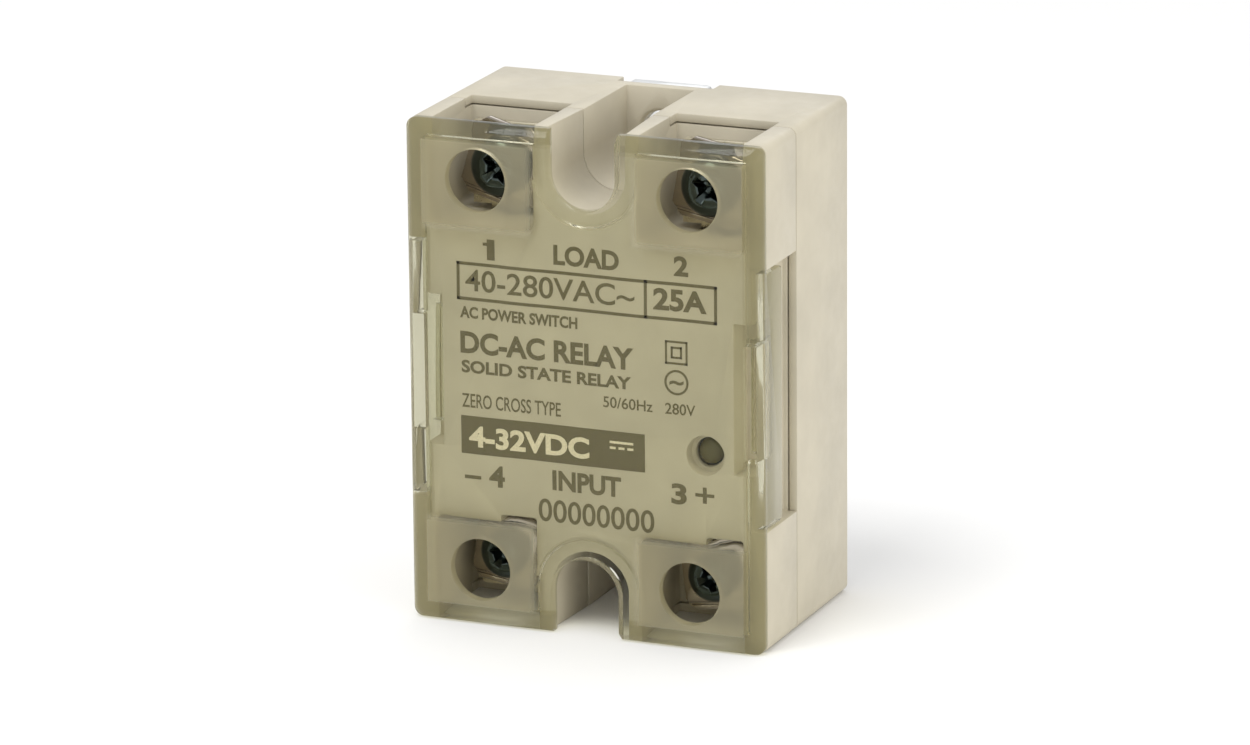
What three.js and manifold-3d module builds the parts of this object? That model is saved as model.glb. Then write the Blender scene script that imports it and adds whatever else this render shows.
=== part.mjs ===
// Solid state relay, panel or heat sink mounted: a two-shell plastic case on an aluminium base
// plate, four screw terminals in open pockets, a clip-on terminal cover, and the power and
// control parts inside. Millimetres, +Z up, front towards -Y. The origin is the centre of the
// base plate's back face.

import * as THREE from "three";
import { mergeVertices } from "three/addons/utils/BufferGeometryUtils.js";
import Module from "manifold-3d";

const wasm = await Module();
wasm.setup();

// Overall size.
const WIDTH = 42.5;
const HEIGHT = 58;
const DEPTH = 27;
const CORNER = 1;

// Mounting notches at the top and bottom edges, and the screw holes at their feet.
const NOTCH_RADIUS = 4.1;
const NOTCH_CENTRE = 24.1;
const MOUNT_HOLE_Z = 23.8;
const MOUNT_HOLE_RADIUS = 2.25;

// Levels along Y, from the back to the front.
const CASE_BACK = -0.2;
const PLATE_FRONT = -2;
const WEB_BACK = -2.1;
const WEB_FRONT = -3.6;
const PARTING = -16;
const BLOCK_BACK = -12.7;
const POCKET_FLOOR = -14.2;
const PEDESTAL_FRONT = -17;
const BLOCK_RIM = -25;
const LABEL_FACE = -25.4;
const COVER_SKIRT = -25.1;
const COVER_INSIDE = -25.8;
const COVER_FRONT = -DEPTH;

// Case walls.
const WALL = 1;
const FIT = 0.15;
const SEAM = 0.05;

// Terminal pockets: each is open at the top or bottom edge of the case.
const SCREW_X = 12.65;
const SCREW_Z = 22.5;
const POCKET_INNER_X = 6.3;
const POCKET_OUTER_X = 18.5;
const POCKET_END_Z = 17;
const PIT_RADIUS = 2.5;
const PIT_WALL = 1.1;
const PIT_DEPTH = 2.8;

// Side recesses for the wings of the cover, and the clip notches inside them.
const RECESS_X = 19.55;
const RECESS_Z = 15;
const CLIP_NOTCH_X = 17.5;
const CLIP_NOTCH_Z = 8.7;
const CLIP_NOTCH_DEPTH = 3.5;

// Cover.
const SKIRT_WIDTH = 2;
const COVER_CHAMFER = 0.9;
const COVER_HOLE_RADIUS = 3.6;
const WING_X = 19.85;
const WING_Z = 14.6;
const WING_END = -20.5;
const SLOT_INNER_X = 19.1;
const SLOT_OUTER_X = 20.4;
const SLOT_Z = 6.65;
const SLOT_FLOOR = -23.4;
const HOOK_X = 18.6;
const HOOK_FRONT = -23.2;
const HOOK_BACK = -21.8;

// Indicator.
const LED_X = 14.1;
const LED_Z = -6.7;
const LED_RADIUS = 1.6;
const LED_RECESS_RADIUS = 2.25;
const LED_FRONT = -23.9;

// Terminal hardware: load side M4, input side M3.5.
const TERMINAL_THICKNESS = 0.8;
const WASHER_THICKNESS = 0.8;
const REST_GAP = 0.05;
const LOAD_SCREW = { head: 3.5, headHeight: 2.55, shank: 1.9, length: 8.5, washer: 9.2, corner: 1.3 };
const INPUT_SCREW = { head: 3, headHeight: 2.3, shank: 1.65, length: 7.5, washer: 8.4, corner: 1.2 };

// Inside.
const BOARD_BACK = -11.2;
const BOARD_FRONT = -12.4;
const BOARD_X = 18;
const BOARD_TOP = 16.5;
const BOARD_BOTTOM = -18.2;
const CAVITY_X = 16.4;
const CAVITY_Z = 15.4;
const CAVITY_FRONT = -24.1;
const CERAMIC_FRONT = -2.65;
const PAD_FRONT = -3;
const CHIP_FRONT = -3.35;

const MATERIALS = {
  housing: { color: 0xd3cbb7, roughness: 0.55, metalness: 0 },
  cover: { color: 0xaaa382, roughness: 0.12, metalness: 0 },
  aluminium: { color: 0xc9ccce, roughness: 0.35, metalness: 1 },
  terminal: { color: 0xc8c2a8, roughness: 0.3, metalness: 1 },
  washer: { color: 0xd8d6cf, roughness: 0.2, metalness: 1 },
  screw: { color: 0x4a4a48, roughness: 0.25, metalness: 1 },
  board: { color: 0x2f6b3c, roughness: 0.5, metalness: 0 },
  black: { color: 0x1d1d1f, roughness: 0.5, metalness: 0 },
  lens: { color: 0x5e3a28, roughness: 0.15, metalness: 0 },
  ceramic: { color: 0xf0eee8, roughness: 0.6, metalness: 0 },
  copper: { color: 0xb87349, roughness: 0.35, metalness: 1 },
  silicon: { color: 0x6a6e78, roughness: 0.2, metalness: 0.6 },
  film: { color: 0xb23a2a, roughness: 0.4, metalness: 0 },
  resistor: { color: 0xc9b08a, roughness: 0.5, metalness: 0 },
  varistor: { color: 0x2e62a6, roughness: 0.45, metalness: 0 },
};

/** A solid that can be joined and cut, from a closed three.js geometry. */
function solid(geometry) {
  const bare = geometry.clone();
  bare.deleteAttribute("normal");
  bare.deleteAttribute("uv");
  const merged = mergeVertices(bare, 1e-4);
  return new wasm.Manifold(new wasm.Mesh({
    numProp: 3,
    vertProperties: new Float32Array(merged.attributes.position.array),
    triVerts: new Uint32Array(merged.index.array),
  }));
}

/** The three.js geometry of a joined or cut solid. */
function geometryOf(body) {
  const mesh = body.getMesh();
  const geometry = new THREE.BufferGeometry();
  geometry.setAttribute("position", new THREE.BufferAttribute(mesh.vertProperties, 3));
  geometry.setIndex(new THREE.BufferAttribute(mesh.triVerts, 1));
  geometry.computeVertexNormals();
  return geometry;
}

/** A box between two corners. */
function box(x, y, z) {
  const size = [x, y, z].map(([low, high]) => high - low);
  const centre = [x, y, z].map(([low, high]) => (low + high) / 2);
  return solid(new THREE.BoxGeometry(...size).translate(...centre));
}

/** A shape drawn in X and Z, carried along Y from back to front. */
function prism(shape, back, front, curveSegments = 8) {
  const options = { depth: back - front, bevelEnabled: false, curveSegments };
  return solid(new THREE.ExtrudeGeometry(shape, options).rotateX(Math.PI / 2).translate(0, back, 0));
}

/** A round rod along Y. */
function rod(x, z, radius, back, front, sides = 24) {
  const geometry = new THREE.CylinderGeometry(radius, radius, back - front, sides);
  return solid(geometry.translate(x, (back + front) / 2, z));
}

/** A round rod along X. */
function crossRod(y, z, radius, left, right, sides = 12) {
  const geometry = new THREE.CylinderGeometry(radius, radius, right - left, sides);
  return solid(geometry.rotateZ(Math.PI / 2).translate((left + right) / 2, y, z));
}

/** All the given solids as one. */
function joined(first, ...rest) {
  return rest.reduce((whole, piece) => whole.add(piece), first);
}

/** The first solid with all the others cut from it. */
function cut(first, ...rest) {
  return rest.reduce((whole, piece) => whole.subtract(piece), first);
}

/** A rectangle with round corners, half sizes x and z. */
function roundedRectangle(x, z, radius) {
  const shape = new THREE.Shape();
  shape.absarc(x - radius, z - radius, radius, 0, Math.PI / 2);
  shape.absarc(radius - x, z - radius, radius, Math.PI / 2, Math.PI);
  shape.absarc(radius - x, radius - z, radius, Math.PI, 1.5 * Math.PI);
  shape.absarc(x - radius, radius - z, radius, 1.5 * Math.PI, 2 * Math.PI);
  return shape;
}

/** The case outline moved inwards by inset, with a mounting notch cut from each end. */
function notchedPrism(inset, back, front) {
  const x = WIDTH / 2 - inset;
  const z = HEIGHT / 2 - inset;
  const notch = NOTCH_RADIUS + inset;
  const full = prism(roundedRectangle(x, z, Math.max(CORNER - inset, 0.3)), back, front);
  const cuts = [1, -1].flatMap((end) => [
    rod(0, end * NOTCH_CENTRE, notch, back + 1, front - 1, 32),
    box([-notch, notch], [front - 1, back + 1], ordered(end * NOTCH_CENTRE, end * HEIGHT)),
  ]);
  return cut(full, ...cuts);
}

/** Two numbers, lowest first. */
function ordered(a, b) {
  return a < b ? [a, b] : [b, a];
}

/** The pocket, screw and terminal places: name, side in X, end in Z, and screw size. */
const STATIONS = [
  { name: "load", number: 1, side: -1, end: 1, screw: LOAD_SCREW, turn: 16 },
  { name: "load", number: 2, side: 1, end: 1, screw: LOAD_SCREW, turn: 11 },
  { name: "input", number: 3, side: 1, end: -1, screw: INPUT_SCREW, turn: -7 },
  { name: "input", number: 4, side: -1, end: -1, screw: INPUT_SCREW, turn: 9 },
];

const relay = new THREE.Group();

/** Adds a named sub-part to the relay. */
function add(name, body, material, place = {}) {
  const mesh = new THREE.Mesh(geometryOf(body), new THREE.MeshStandardMaterial(MATERIALS[material]));
  mesh.name = name;
  mesh.position.set(place.x ?? 0, place.y ?? 0, place.z ?? 0);
  mesh.rotation.y = THREE.MathUtils.degToRad(place.turn ?? 0);
  relay.add(mesh);
}

// Base plate: let into the back of the case, with a tongue at each end under the screw head.
const PLATE_X = 19.4;
const PLATE_Z = 26.6;
const TONGUE_X = 4.9;
const TONGUE_Z = 28.8;
const plateBody = prism(roundedRectangle(PLATE_X, PLATE_Z, 1), 0, PLATE_FRONT);
const tongues = prism(roundedRectangle(TONGUE_X, TONGUE_Z, 0.6), 0, PLATE_FRONT);
const plateHoles = [1, -1].map((end) => rod(0, end * MOUNT_HOLE_Z, MOUNT_HOLE_RADIUS, 1, PLATE_FRONT - 1));
add("base_plate", cut(joined(plateBody, tongues), ...plateHoles), "aluminium");

// Rear case: walls and notch channels, a back rim round the plate, and a web across each notch.
// Its end walls are lower behind the pockets, where the wires come in.
const REAR_CUT_X = 5.8;
const rearWalls = notchedPrism(0, WEB_FRONT, PARTING + SEAM);
const rearRim = prism(roundedRectangle(WIDTH / 2, HEIGHT / 2, CORNER), CASE_BACK, WEB_FRONT);
const rearCavity = notchedPrism(WALL, WEB_BACK, PARTING - 1);
const plateSeat = prism(roundedRectangle(PLATE_X + FIT, PLATE_Z + FIT, 1), 1, WEB_BACK);
const tongueSeats = box([-REAR_CUT_X, REAR_CUT_X], [WEB_BACK, 1], [-HEIGHT, HEIGHT]);
const pocketGaps = STATIONS.map(({ side, end }) => box(
  ordered(side * POCKET_INNER_X, side * POCKET_OUTER_X),
  [PARTING - 1, POCKET_FLOOR],
  ordered(end * (HEIGHT / 2 - WALL - 0.5), end * HEIGHT),
));
const webHoles = [1, -1].map((end) => rod(0, end * MOUNT_HOLE_Z, MOUNT_HOLE_RADIUS + FIT, 1, WEB_FRONT - 1));
const rearCuts = [rearCavity, plateSeat, tongueSeats, ...pocketGaps, ...webHoles];
add("rear_case", cut(joined(rearWalls, rearRim), ...rearCuts), "housing");

// Terminal block: the front shell, with the label face, four pockets and a spigot into the case.
// A round pedestal in each pocket carries the terminal, with a blind pit for the screw.
const SIDES = [-1, 1];
const blockShell = notchedPrism(0, PARTING - SEAM, BLOCK_RIM);
const labelPlateau = notchedPrism(SKIRT_WIDTH + 2 * FIT, BLOCK_RIM + 0.5, LABEL_FACE);
const spigot = notchedPrism(WALL + FIT, BLOCK_BACK, PARTING - 0.5);
const pedestals = [];
const bores = [];
const blockCuts = [box([-CAVITY_X, CAVITY_X], [CAVITY_FRONT, 0], [-CAVITY_Z, CAVITY_Z])];
for (const { side, end } of STATIONS) {
  const x = side * SCREW_X;
  const z = end * SCREW_Z;
  const pitEnd = BLOCK_BACK + PIT_DEPTH;
  const pocketX = ordered(side * POCKET_INNER_X, side * POCKET_OUTER_X);
  const legX = [x - 2.2, x + 2.2];
  const legZ = ordered(end * (POCKET_END_Z + 0.05), end * (POCKET_END_Z + 1.1));
  pedestals.push(rod(x, z, PIT_RADIUS + PIT_WALL, pitEnd + PIT_WALL, PEDESTAL_FRONT));
  blockCuts.push(box(pocketX, [-DEPTH - 1, POCKET_FLOOR], ordered(end * POCKET_END_Z, end * HEIGHT)));
  bores.push(rod(x, z, PIT_RADIUS, pitEnd, PEDESTAL_FRONT - 1));
  bores.push(box(legX, [POCKET_FLOOR - 1, 0], legZ));
}
// A shallow channel in the end wall of each input pocket takes the upright tab of its terminal.
const TAB_CHANNEL_START = 7.9;
const TAB_CHANNEL_WIDTH = 4.2;
const TAB_CHANNEL_HEIGHT = 0.8;
/** The low and high X of the tab channel of the input pocket on one side. */
function tabChannelX(side) {
  const pocketLeft = side < 0 ? -POCKET_OUTER_X : POCKET_INNER_X;
  return [pocketLeft + TAB_CHANNEL_START, pocketLeft + TAB_CHANNEL_START + TAB_CHANNEL_WIDTH];
}
for (const side of SIDES) {
  const clipX = ordered(side * CLIP_NOTCH_X, side * WIDTH);
  const channelZ = [-POCKET_END_Z - 1, -POCKET_END_Z + TAB_CHANNEL_HEIGHT];
  blockCuts.push(box(ordered(side * RECESS_X, side * WIDTH), [-DEPTH - 1, PARTING], [-RECESS_Z, RECESS_Z]));
  blockCuts.push(box(clipX, [-DEPTH - 1, BLOCK_RIM + CLIP_NOTCH_DEPTH], [-CLIP_NOTCH_Z, CLIP_NOTCH_Z]));
  blockCuts.push(box(tabChannelX(side), [-DEPTH - 1, POCKET_FLOOR], channelZ));
}
const ledBoss = rod(LED_X, LED_Z, LED_RADIUS + 0.7, LED_FRONT + 1.4, CAVITY_FRONT - 0.2);
const ledRecess = rod(LED_X, LED_Z, LED_RECESS_RADIUS, LED_FRONT, LABEL_FACE - 1);
const ledBore = rod(LED_X, LED_Z, LED_RADIUS + 0.1, 0, LED_FRONT - 1);
// Posts behind the front wall stand on the board's corners.
const boardPosts = SIDES.flatMap((side) => SIDES.map((end) => box(
  ordered(side * 16.7, side * 17.9),
  [BLOCK_BACK - 0.5, BOARD_FRONT - REST_GAP],
  ordered(end * 12.6, end * 14.6),
)));
const blockHollow = cut(joined(blockShell, labelPlateau, spigot), ...blockCuts);
const blockWithPosts = joined(blockHollow, ledBoss, ...pedestals, ...boardPosts);
add("terminal_block", cut(blockWithPosts, ledRecess, ledBore, ...bores), "housing");

/** A square bar on its edge along one side of the front, which cuts the chamfer there. */
function chamferCut([place, front], axis, side) {
  const width = COVER_CHAMFER * Math.SQRT2;
  const length = 2 * HEIGHT;
  const bar = axis === "x"
    ? new THREE.BoxGeometry(width, width, length).rotateZ(Math.PI / 4).translate(place, front, 0)
    : new THREE.BoxGeometry(length, width, width).rotateX(Math.PI / 4).translate(0, front, place);
  return solid(bar);
}

// Terminal cover: a thin tray with a chamfered front edge, four holes, and a wing on each side.
const coverBlank = notchedPrism(0, COVER_SKIRT, COVER_FRONT);
const chamfers = SIDES.flatMap((side) => [
  chamferCut([side * WIDTH / 2, COVER_FRONT], "x", side),
  chamferCut([side * HEIGHT / 2, COVER_FRONT], "z", side),
]);

const coverHollow = notchedPrism(SKIRT_WIDTH, 0, COVER_INSIDE);
const coverHoles = STATIONS.map(({ side, end }) => (
  rod(side * SCREW_X, end * SCREW_Z, COVER_HOLE_RADIUS, 0, COVER_FRONT - 1, 32)));
const wings = SIDES.map((side) => (
  box(ordered(side * WING_X, side * WIDTH / 2), [COVER_INSIDE, WING_END], [-WING_Z, WING_Z])));
const hooks = SIDES.map((side) => (
  box(ordered(side * HOOK_X, side * (WING_X + 0.1)), [HOOK_FRONT, HOOK_BACK], [-SLOT_Z, SLOT_Z])));
const clipSlots = SIDES.map((side) => (
  box(ordered(side * SLOT_INNER_X, side * SLOT_OUTER_X), [COVER_FRONT - 1, SLOT_FLOOR], [-SLOT_Z, SLOT_Z])));
const coverTray = cut(coverBlank, coverHollow, ...chamfers);
const coverBody = cut(joined(coverTray, ...wings), ...coverHoles, ...clipSlots);
add("terminal_cover", joined(coverBody, ...hooks), "cover");

// Terminals, clamp washers and screws.
const TERMINAL_BACK = PEDESTAL_FRONT - REST_GAP;
const TERMINAL_FRONT = TERMINAL_BACK - TERMINAL_THICKNESS;
const WASHER_BACK = TERMINAL_FRONT - REST_GAP;
const WASHER_FRONT = WASHER_BACK - WASHER_THICKNESS;
const HEAD_BACK = WASHER_FRONT - REST_GAP;
const HOLE_CLEARANCE = 0.25;
const LEG_Z = [17.15, 17.95];
const FOOT_END_Z = 9;
const LEG_THICKNESS = 0.8;
const PLATE_START_Z = 17.6;
const LOAD_PLATE = { half: 4.2, end: 27.2, legHalf: 2 };
const INPUT_PLATE = { half: 3.8, end: 27, legHalf: 1.5 };
const EAR_Z = [-18.4, -16.4];
const TAB_Z = [-16.9, -16.4];
const TAB_FRONT = -23.2;
const TAB_FIT = 0.4;

/** The terminal strip of a load pocket: plate, leg through the floor, and foot on its pad. */
function loadTerminal(side) {
  const x = side * SCREW_X;
  const { half, end, legHalf } = LOAD_PLATE;
  const legX = [x - legHalf, x + legHalf];
  const footY = [PAD_FRONT - LEG_THICKNESS, PAD_FRONT - REST_GAP];
  const plate = box([x - half, x + half], [TERMINAL_FRONT, TERMINAL_BACK], [PLATE_START_Z, end]);
  const leg = box(legX, [TERMINAL_FRONT, PAD_FRONT - REST_GAP], LEG_Z);
  const foot = box(legX, footY, [FOOT_END_Z, LEG_Z[1]]);
  const hole = rod(x, SCREW_Z, LOAD_SCREW.shank + HOLE_CLEARANCE, 0, TERMINAL_FRONT - 1);
  return cut(joined(plate, leg, foot), hole);
}

/** The terminal strip of an input pocket: plate, leg to the board, and upright tab. */
function inputTerminal(side) {
  const x = side * SCREW_X;
  const [channelLow, channelHigh] = tabChannelX(side);
  const { half, end, legHalf } = INPUT_PLATE;
  const tabX = [channelLow + TAB_FIT, channelHigh - TAB_FIT];
  const legX = [x - legHalf, x + legHalf];
  const plate = box([x - half, x + half], [TERMINAL_FRONT, TERMINAL_BACK], [-end, -PLATE_START_Z]);
  const leg = box(legX, [TERMINAL_FRONT, BOARD_BACK + 0.4], [-LEG_Z[1], -LEG_Z[0]]);
  const ear = box(tabX, [TERMINAL_FRONT, TERMINAL_BACK], EAR_Z);
  const tab = box(tabX, [TAB_FRONT, TERMINAL_BACK], TAB_Z);
  const hole = rod(x, -SCREW_Z, INPUT_SCREW.shank + HOLE_CLEARANCE, 0, TERMINAL_FRONT - 1);
  return cut(joined(plate, leg, ear, tab), hole);
}

/** A square clamp washer with cut corners, centred on its screw. */
function clampWasher({ washer, corner, shank }) {
  const half = washer / 2;
  const near = half - corner;
  const shape = new THREE.Shape([
    [half, near], [near, half], [-near, half], [-half, near],
    [-half, -near], [-near, -half], [near, -half], [half, -near],
  ].map(([x, z]) => new THREE.Vector2(x, z)));
  const hole = rod(0, 0, shank + HOLE_CLEARANCE, 1, -WASHER_THICKNESS - 1);
  return cut(prism(shape, 0, -WASHER_THICKNESS), hole);
}

// The cross recess: its reach and floor as shares of the head, and half its slot width.
const RECESS_REACH = 0.58;
const RECESS_FLOOR = 0.45;
const RECESS_SLOT = 0.45;

/** A pan head screw with a cross recess. Its origin is under the head, on the axis. */
function panHeadScrew({ head, headHeight, shank, length }) {
  const profile = [
    [0, length], [shank - 0.5, length], [shank, length - 0.5], [shank, 0], [head, 0],
    [head, -0.55 * headHeight], [0.8 * head, -0.88 * headHeight], [0.4 * head, -headHeight],
    [0, -headHeight],
  ].map(([radius, y]) => new THREE.Vector2(radius, y)).reverse();
  const body = solid(new THREE.LatheGeometry(profile, 24));
  const reach = RECESS_REACH * head;
  const depth = [-headHeight - 1, -RECESS_FLOOR * headHeight];
  const slot = RECESS_SLOT;
  return cut(body, box([-reach, reach], depth, [-slot, slot]), box([-slot, slot], depth, [-reach, reach]));
}

for (const { name, number, side, end, screw, turn } of STATIONS) {
  const x = side * SCREW_X;
  const z = end * SCREW_Z;
  const strip = name === "load" ? loadTerminal(side) : inputTerminal(side);
  add(`${name}_terminal_${number}`, strip, "terminal");
  add(`${name}_washer_${number}`, clampWasher(screw), "washer", { x, y: WASHER_BACK, z, turn });
  add(`${name}_screw_${number}`, panHeadScrew(screw), "screw", { x, y: HEAD_BACK, z, turn: 3 * turn });
}

// Power stage on the base plate: ceramic insulator, two copper pads, triac chip and its clip.
const CERAMIC_X = 16.5;
const CERAMIC_Z = [-9.5, 13.5];
const CHIP_X = 6;
const CHIP_Z = -1;
const CHIP_HALF = 3.5;
const PAD_Z = [-8, 12];
const PAD_1_X = [-15.5, -3];
const PAD_2_X = [-1, 15.5];
const CLIP_HALF = 2.5;
const CLIP_FRONT = -4.6;
const CLIP_THICKNESS = 0.6;
const CLIP_FOOT_X = [-8, -5.4];
const ceramicY = [CERAMIC_FRONT, PLATE_FRONT - REST_GAP];
const padY = [PAD_FRONT, CERAMIC_FRONT - REST_GAP];
add("ceramic_substrate", box([-CERAMIC_X, CERAMIC_X], ceramicY, CERAMIC_Z), "ceramic");
add("pad_1", box(PAD_1_X, padY, PAD_Z), "copper");
add("pad_2", box(PAD_2_X, padY, PAD_Z), "copper");
const chipX = [CHIP_X - CHIP_HALF, CHIP_X + CHIP_HALF];
const chipZ = [CHIP_Z - CHIP_HALF, CHIP_Z + CHIP_HALF];
add("triac_chip", box(chipX, [CHIP_FRONT, PAD_FRONT - REST_GAP], chipZ), "silicon");
const clipZ = [CHIP_Z - CLIP_HALF, CHIP_Z + CLIP_HALF];
const clipBridge = box([CLIP_FOOT_X[1] - 0.6, CHIP_X + 2], [CLIP_FRONT, CLIP_FRONT + CLIP_THICKNESS], clipZ);
const clipChipFoot = box([CHIP_X - 2, CHIP_X + 2], [CLIP_FRONT, CHIP_FRONT - REST_GAP], clipZ);
const clipPadFoot = box(CLIP_FOOT_X, [CLIP_FRONT, PAD_FRONT - REST_GAP], clipZ);
add("triac_clip", joined(clipBridge, clipChipFoot, clipPadFoot), "copper");

// Control board and the pins that join it to the power stage.
const boardBlank = box([-BOARD_X, BOARD_X], [BOARD_FRONT, BOARD_BACK], [BOARD_BOTTOM, BOARD_TOP]);
const boardNotches = SIDES.map((side) => (
  box([side * SCREW_X - 1.7, side * SCREW_X + 1.7], [-DEPTH, 0], [-HEIGHT, -17])));
add("control_board", cut(boardBlank, ...boardNotches), "board");
const PINS = [["gate_pin", 12.5, -6.5], ["pad_pin_1", -12.5, -6.5], ["pad_pin_2", 1, 9.5]];
for (const [name, x, z] of PINS) {
  add(name, rod(x, z, 0.4, PAD_FRONT - REST_GAP, BOARD_BACK + REST_GAP, 10), "terminal");
}

/** An axial part lying along X above the board, on two bent leads. */
function axialPart(x, z, radius, length, leadSpan) {
  const y = BOARD_FRONT - REST_GAP - radius - 0.4;
  const lead = 0.3;
  const board = BOARD_FRONT - REST_GAP;
  const legs = SIDES.map((side) => rod(x + side * leadSpan / 2, z, lead, board, y - lead, 8));
  const wire = crossRod(y, z, lead, x - leadSpan / 2, x + leadSpan / 2, 8);
  return joined(crossRod(y, z, radius, x - length / 2, x + length / 2), wire, ...legs);
}

/** A six-leg integrated part that stands on the board. */
function dualInLinePart(x, z) {
  const back = BOARD_FRONT - REST_GAP;
  const body = box([x - 3.2, x + 3.2], [back - 4, back - 0.6], [z - 4.3, z + 4.3]);
  const legs = SIDES.flatMap((side) => [-2.54, 0, 2.54].map((step) => joined(
    box(ordered(x + side * 3.1, x + side * 3.9), [back - 2.4, back - 2.1], [z + step - 0.6, z + step + 0.6]),
    box(ordered(x + side * 3.65, x + side * 3.95), [back - 2.4, back], [z + step - 0.3, z + step + 0.3]),
  )));
  return joined(body, ...legs);
}

add("photocoupler", dualInLinePart(2.5, -1), "black");
add("snubber_resistor", axialPart(-8.5, -3.5, 1.7, 9, 12.5), "resistor");
add("gate_resistor", axialPart(-8.5, -8, 1.1, 6.4, 9.5), "resistor");
add("input_resistor", axialPart(-8.5, -11.6, 1.1, 6.4, 9.5), "resistor");
add("input_diode", axialPart(4.5, -11.6, 1, 4.2, 7.5), "black");

// Snubber capacitor: a film part in a box on two leads.
const PART_BACK = BOARD_FRONT - REST_GAP;
const CAPACITOR_X = [-15.4, -2.4];
const CAPACITOR_Z = [6.4, 12.4];
const CAPACITOR_TALL = 9.5;
const LEAD_RADIUS = 0.35;
const capacitorBody = box(CAPACITOR_X, [PART_BACK - CAPACITOR_TALL, PART_BACK - 0.4], CAPACITOR_Z);
const capacitorLeads = [CAPACITOR_X[0] + 1.5, CAPACITOR_X[1] - 1.5].map((x) => (
  rod(x, 9.4, LEAD_RADIUS, PART_BACK, PART_BACK - 1, 8)));
add("snubber_capacitor", joined(capacitorBody, ...capacitorLeads), "film");

// Varistor: a coated disc standing on two leads.
const VARISTOR = { x: 6.8, y: PART_BACK - 6, z: 10.6, radius: 4.6, thick: 3.6, leadStep: 2.5 };
const varistorDisc = solid(
  new THREE.CylinderGeometry(VARISTOR.radius, VARISTOR.radius, VARISTOR.thick, 24)
    .rotateX(Math.PI / 2).translate(VARISTOR.x, VARISTOR.y, VARISTOR.z));
const varistorLeads = SIDES.map((side) => (
  rod(VARISTOR.x + side * VARISTOR.leadStep, VARISTOR.z, LEAD_RADIUS, PART_BACK, VARISTOR.y, 8)));
add("varistor", joined(varistorDisc, ...varistorLeads), "varistor");

// Drive transistor: a half-round body on three leads.
const TRANSISTOR = { x: 12.6, z: 2.6, radius: 2.3, flatZ: 3.9, leadZ: 2.4, leadRadius: 0.22 };
const LEAD_PITCH = 1.27;
const transistorBody = cut(
  rod(TRANSISTOR.x, TRANSISTOR.z, TRANSISTOR.radius, PART_BACK - 2, PART_BACK - 6.6, 20),
  box([TRANSISTOR.x - 3, TRANSISTOR.x + 3], [-DEPTH, 0], [TRANSISTOR.flatZ, TRANSISTOR.flatZ + 2]),
);
const transistorLeads = [-LEAD_PITCH, 0, LEAD_PITCH].map((step) => (
  rod(TRANSISTOR.x + step, TRANSISTOR.leadZ, TRANSISTOR.leadRadius, PART_BACK, PART_BACK - 2.5, 8)));
add("drive_transistor", joined(transistorBody, ...transistorLeads), "black");

// Indicator: a round lamp on two leads, its front in the recess of the label face.
const LAMP_BACK = LED_FRONT + 5.2;
const LAMP_LEAD = 0.25;
const lampFlange = rod(LED_X, LED_Z, LED_RADIUS + 0.3, LAMP_BACK, LAMP_BACK - 1);
const lampBody = rod(LED_X, LED_Z, LED_RADIUS, LAMP_BACK, LED_FRONT + REST_GAP);
const lampLeads = [-LEAD_PITCH, LEAD_PITCH].map((step) => (
  box([LED_X + step - LAMP_LEAD, LED_X + step + LAMP_LEAD], [LAMP_BACK - 0.2, PART_BACK],
    [LED_Z - LAMP_LEAD, LED_Z + LAMP_LEAD])));
add("indicator_lamp", joined(lampFlange, lampBody, ...lampLeads), "lens");

export default relay;
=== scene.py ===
"""Solid state relay on a pale studio floor: a beige two-shell case under a clear smoky cover."""

import logging
import math
from collections.abc import Callable, Sequence
from dataclasses import dataclass, field
from enum import Enum

import bpy
from mathutils import Matrix, Vector


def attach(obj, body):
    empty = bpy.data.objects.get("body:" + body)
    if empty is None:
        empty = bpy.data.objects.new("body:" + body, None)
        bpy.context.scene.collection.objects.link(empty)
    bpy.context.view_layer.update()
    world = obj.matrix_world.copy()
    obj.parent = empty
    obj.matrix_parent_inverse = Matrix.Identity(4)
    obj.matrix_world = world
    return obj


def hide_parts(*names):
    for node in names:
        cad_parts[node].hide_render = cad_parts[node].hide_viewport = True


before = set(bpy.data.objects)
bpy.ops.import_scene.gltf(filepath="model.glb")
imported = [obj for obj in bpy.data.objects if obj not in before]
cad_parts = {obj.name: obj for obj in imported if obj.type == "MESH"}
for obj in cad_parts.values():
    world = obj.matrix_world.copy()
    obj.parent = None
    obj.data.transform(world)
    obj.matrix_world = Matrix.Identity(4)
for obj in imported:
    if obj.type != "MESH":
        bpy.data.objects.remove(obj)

logging.basicConfig(level=logging.INFO, format="%(message)s")
LOG = logging.getLogger("relay")

MM = 0.001
Span = tuple[float, float]
Colour = tuple[float, float, float]
EdgeTest = Callable[[Vector, Vector], bool]
FaceTest = Callable[[Vector, Vector], bool]


def linear(red: int, green: int, blue: int) -> tuple[float, float, float, float]:
    """A screen colour, 0 to 255, as the linear colour that a shader takes.

    Args:
        red: Red part.
        green: Green part.
        blue: Blue part.

    Returns:
        The linear red, green and blue, and 1 for opaque.
    """
    parts = [value / 255 for value in (red, green, blue)]
    bent = [v / 12.92 if v <= 0.04045 else ((v + 0.055) / 1.055) ** 2.4 for v in parts]
    return (*bent, 1.0)


def ordered(a: float, b: float) -> Span:
    """Two numbers, lowest first."""
    return (a, b) if a < b else (b, a)


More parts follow.
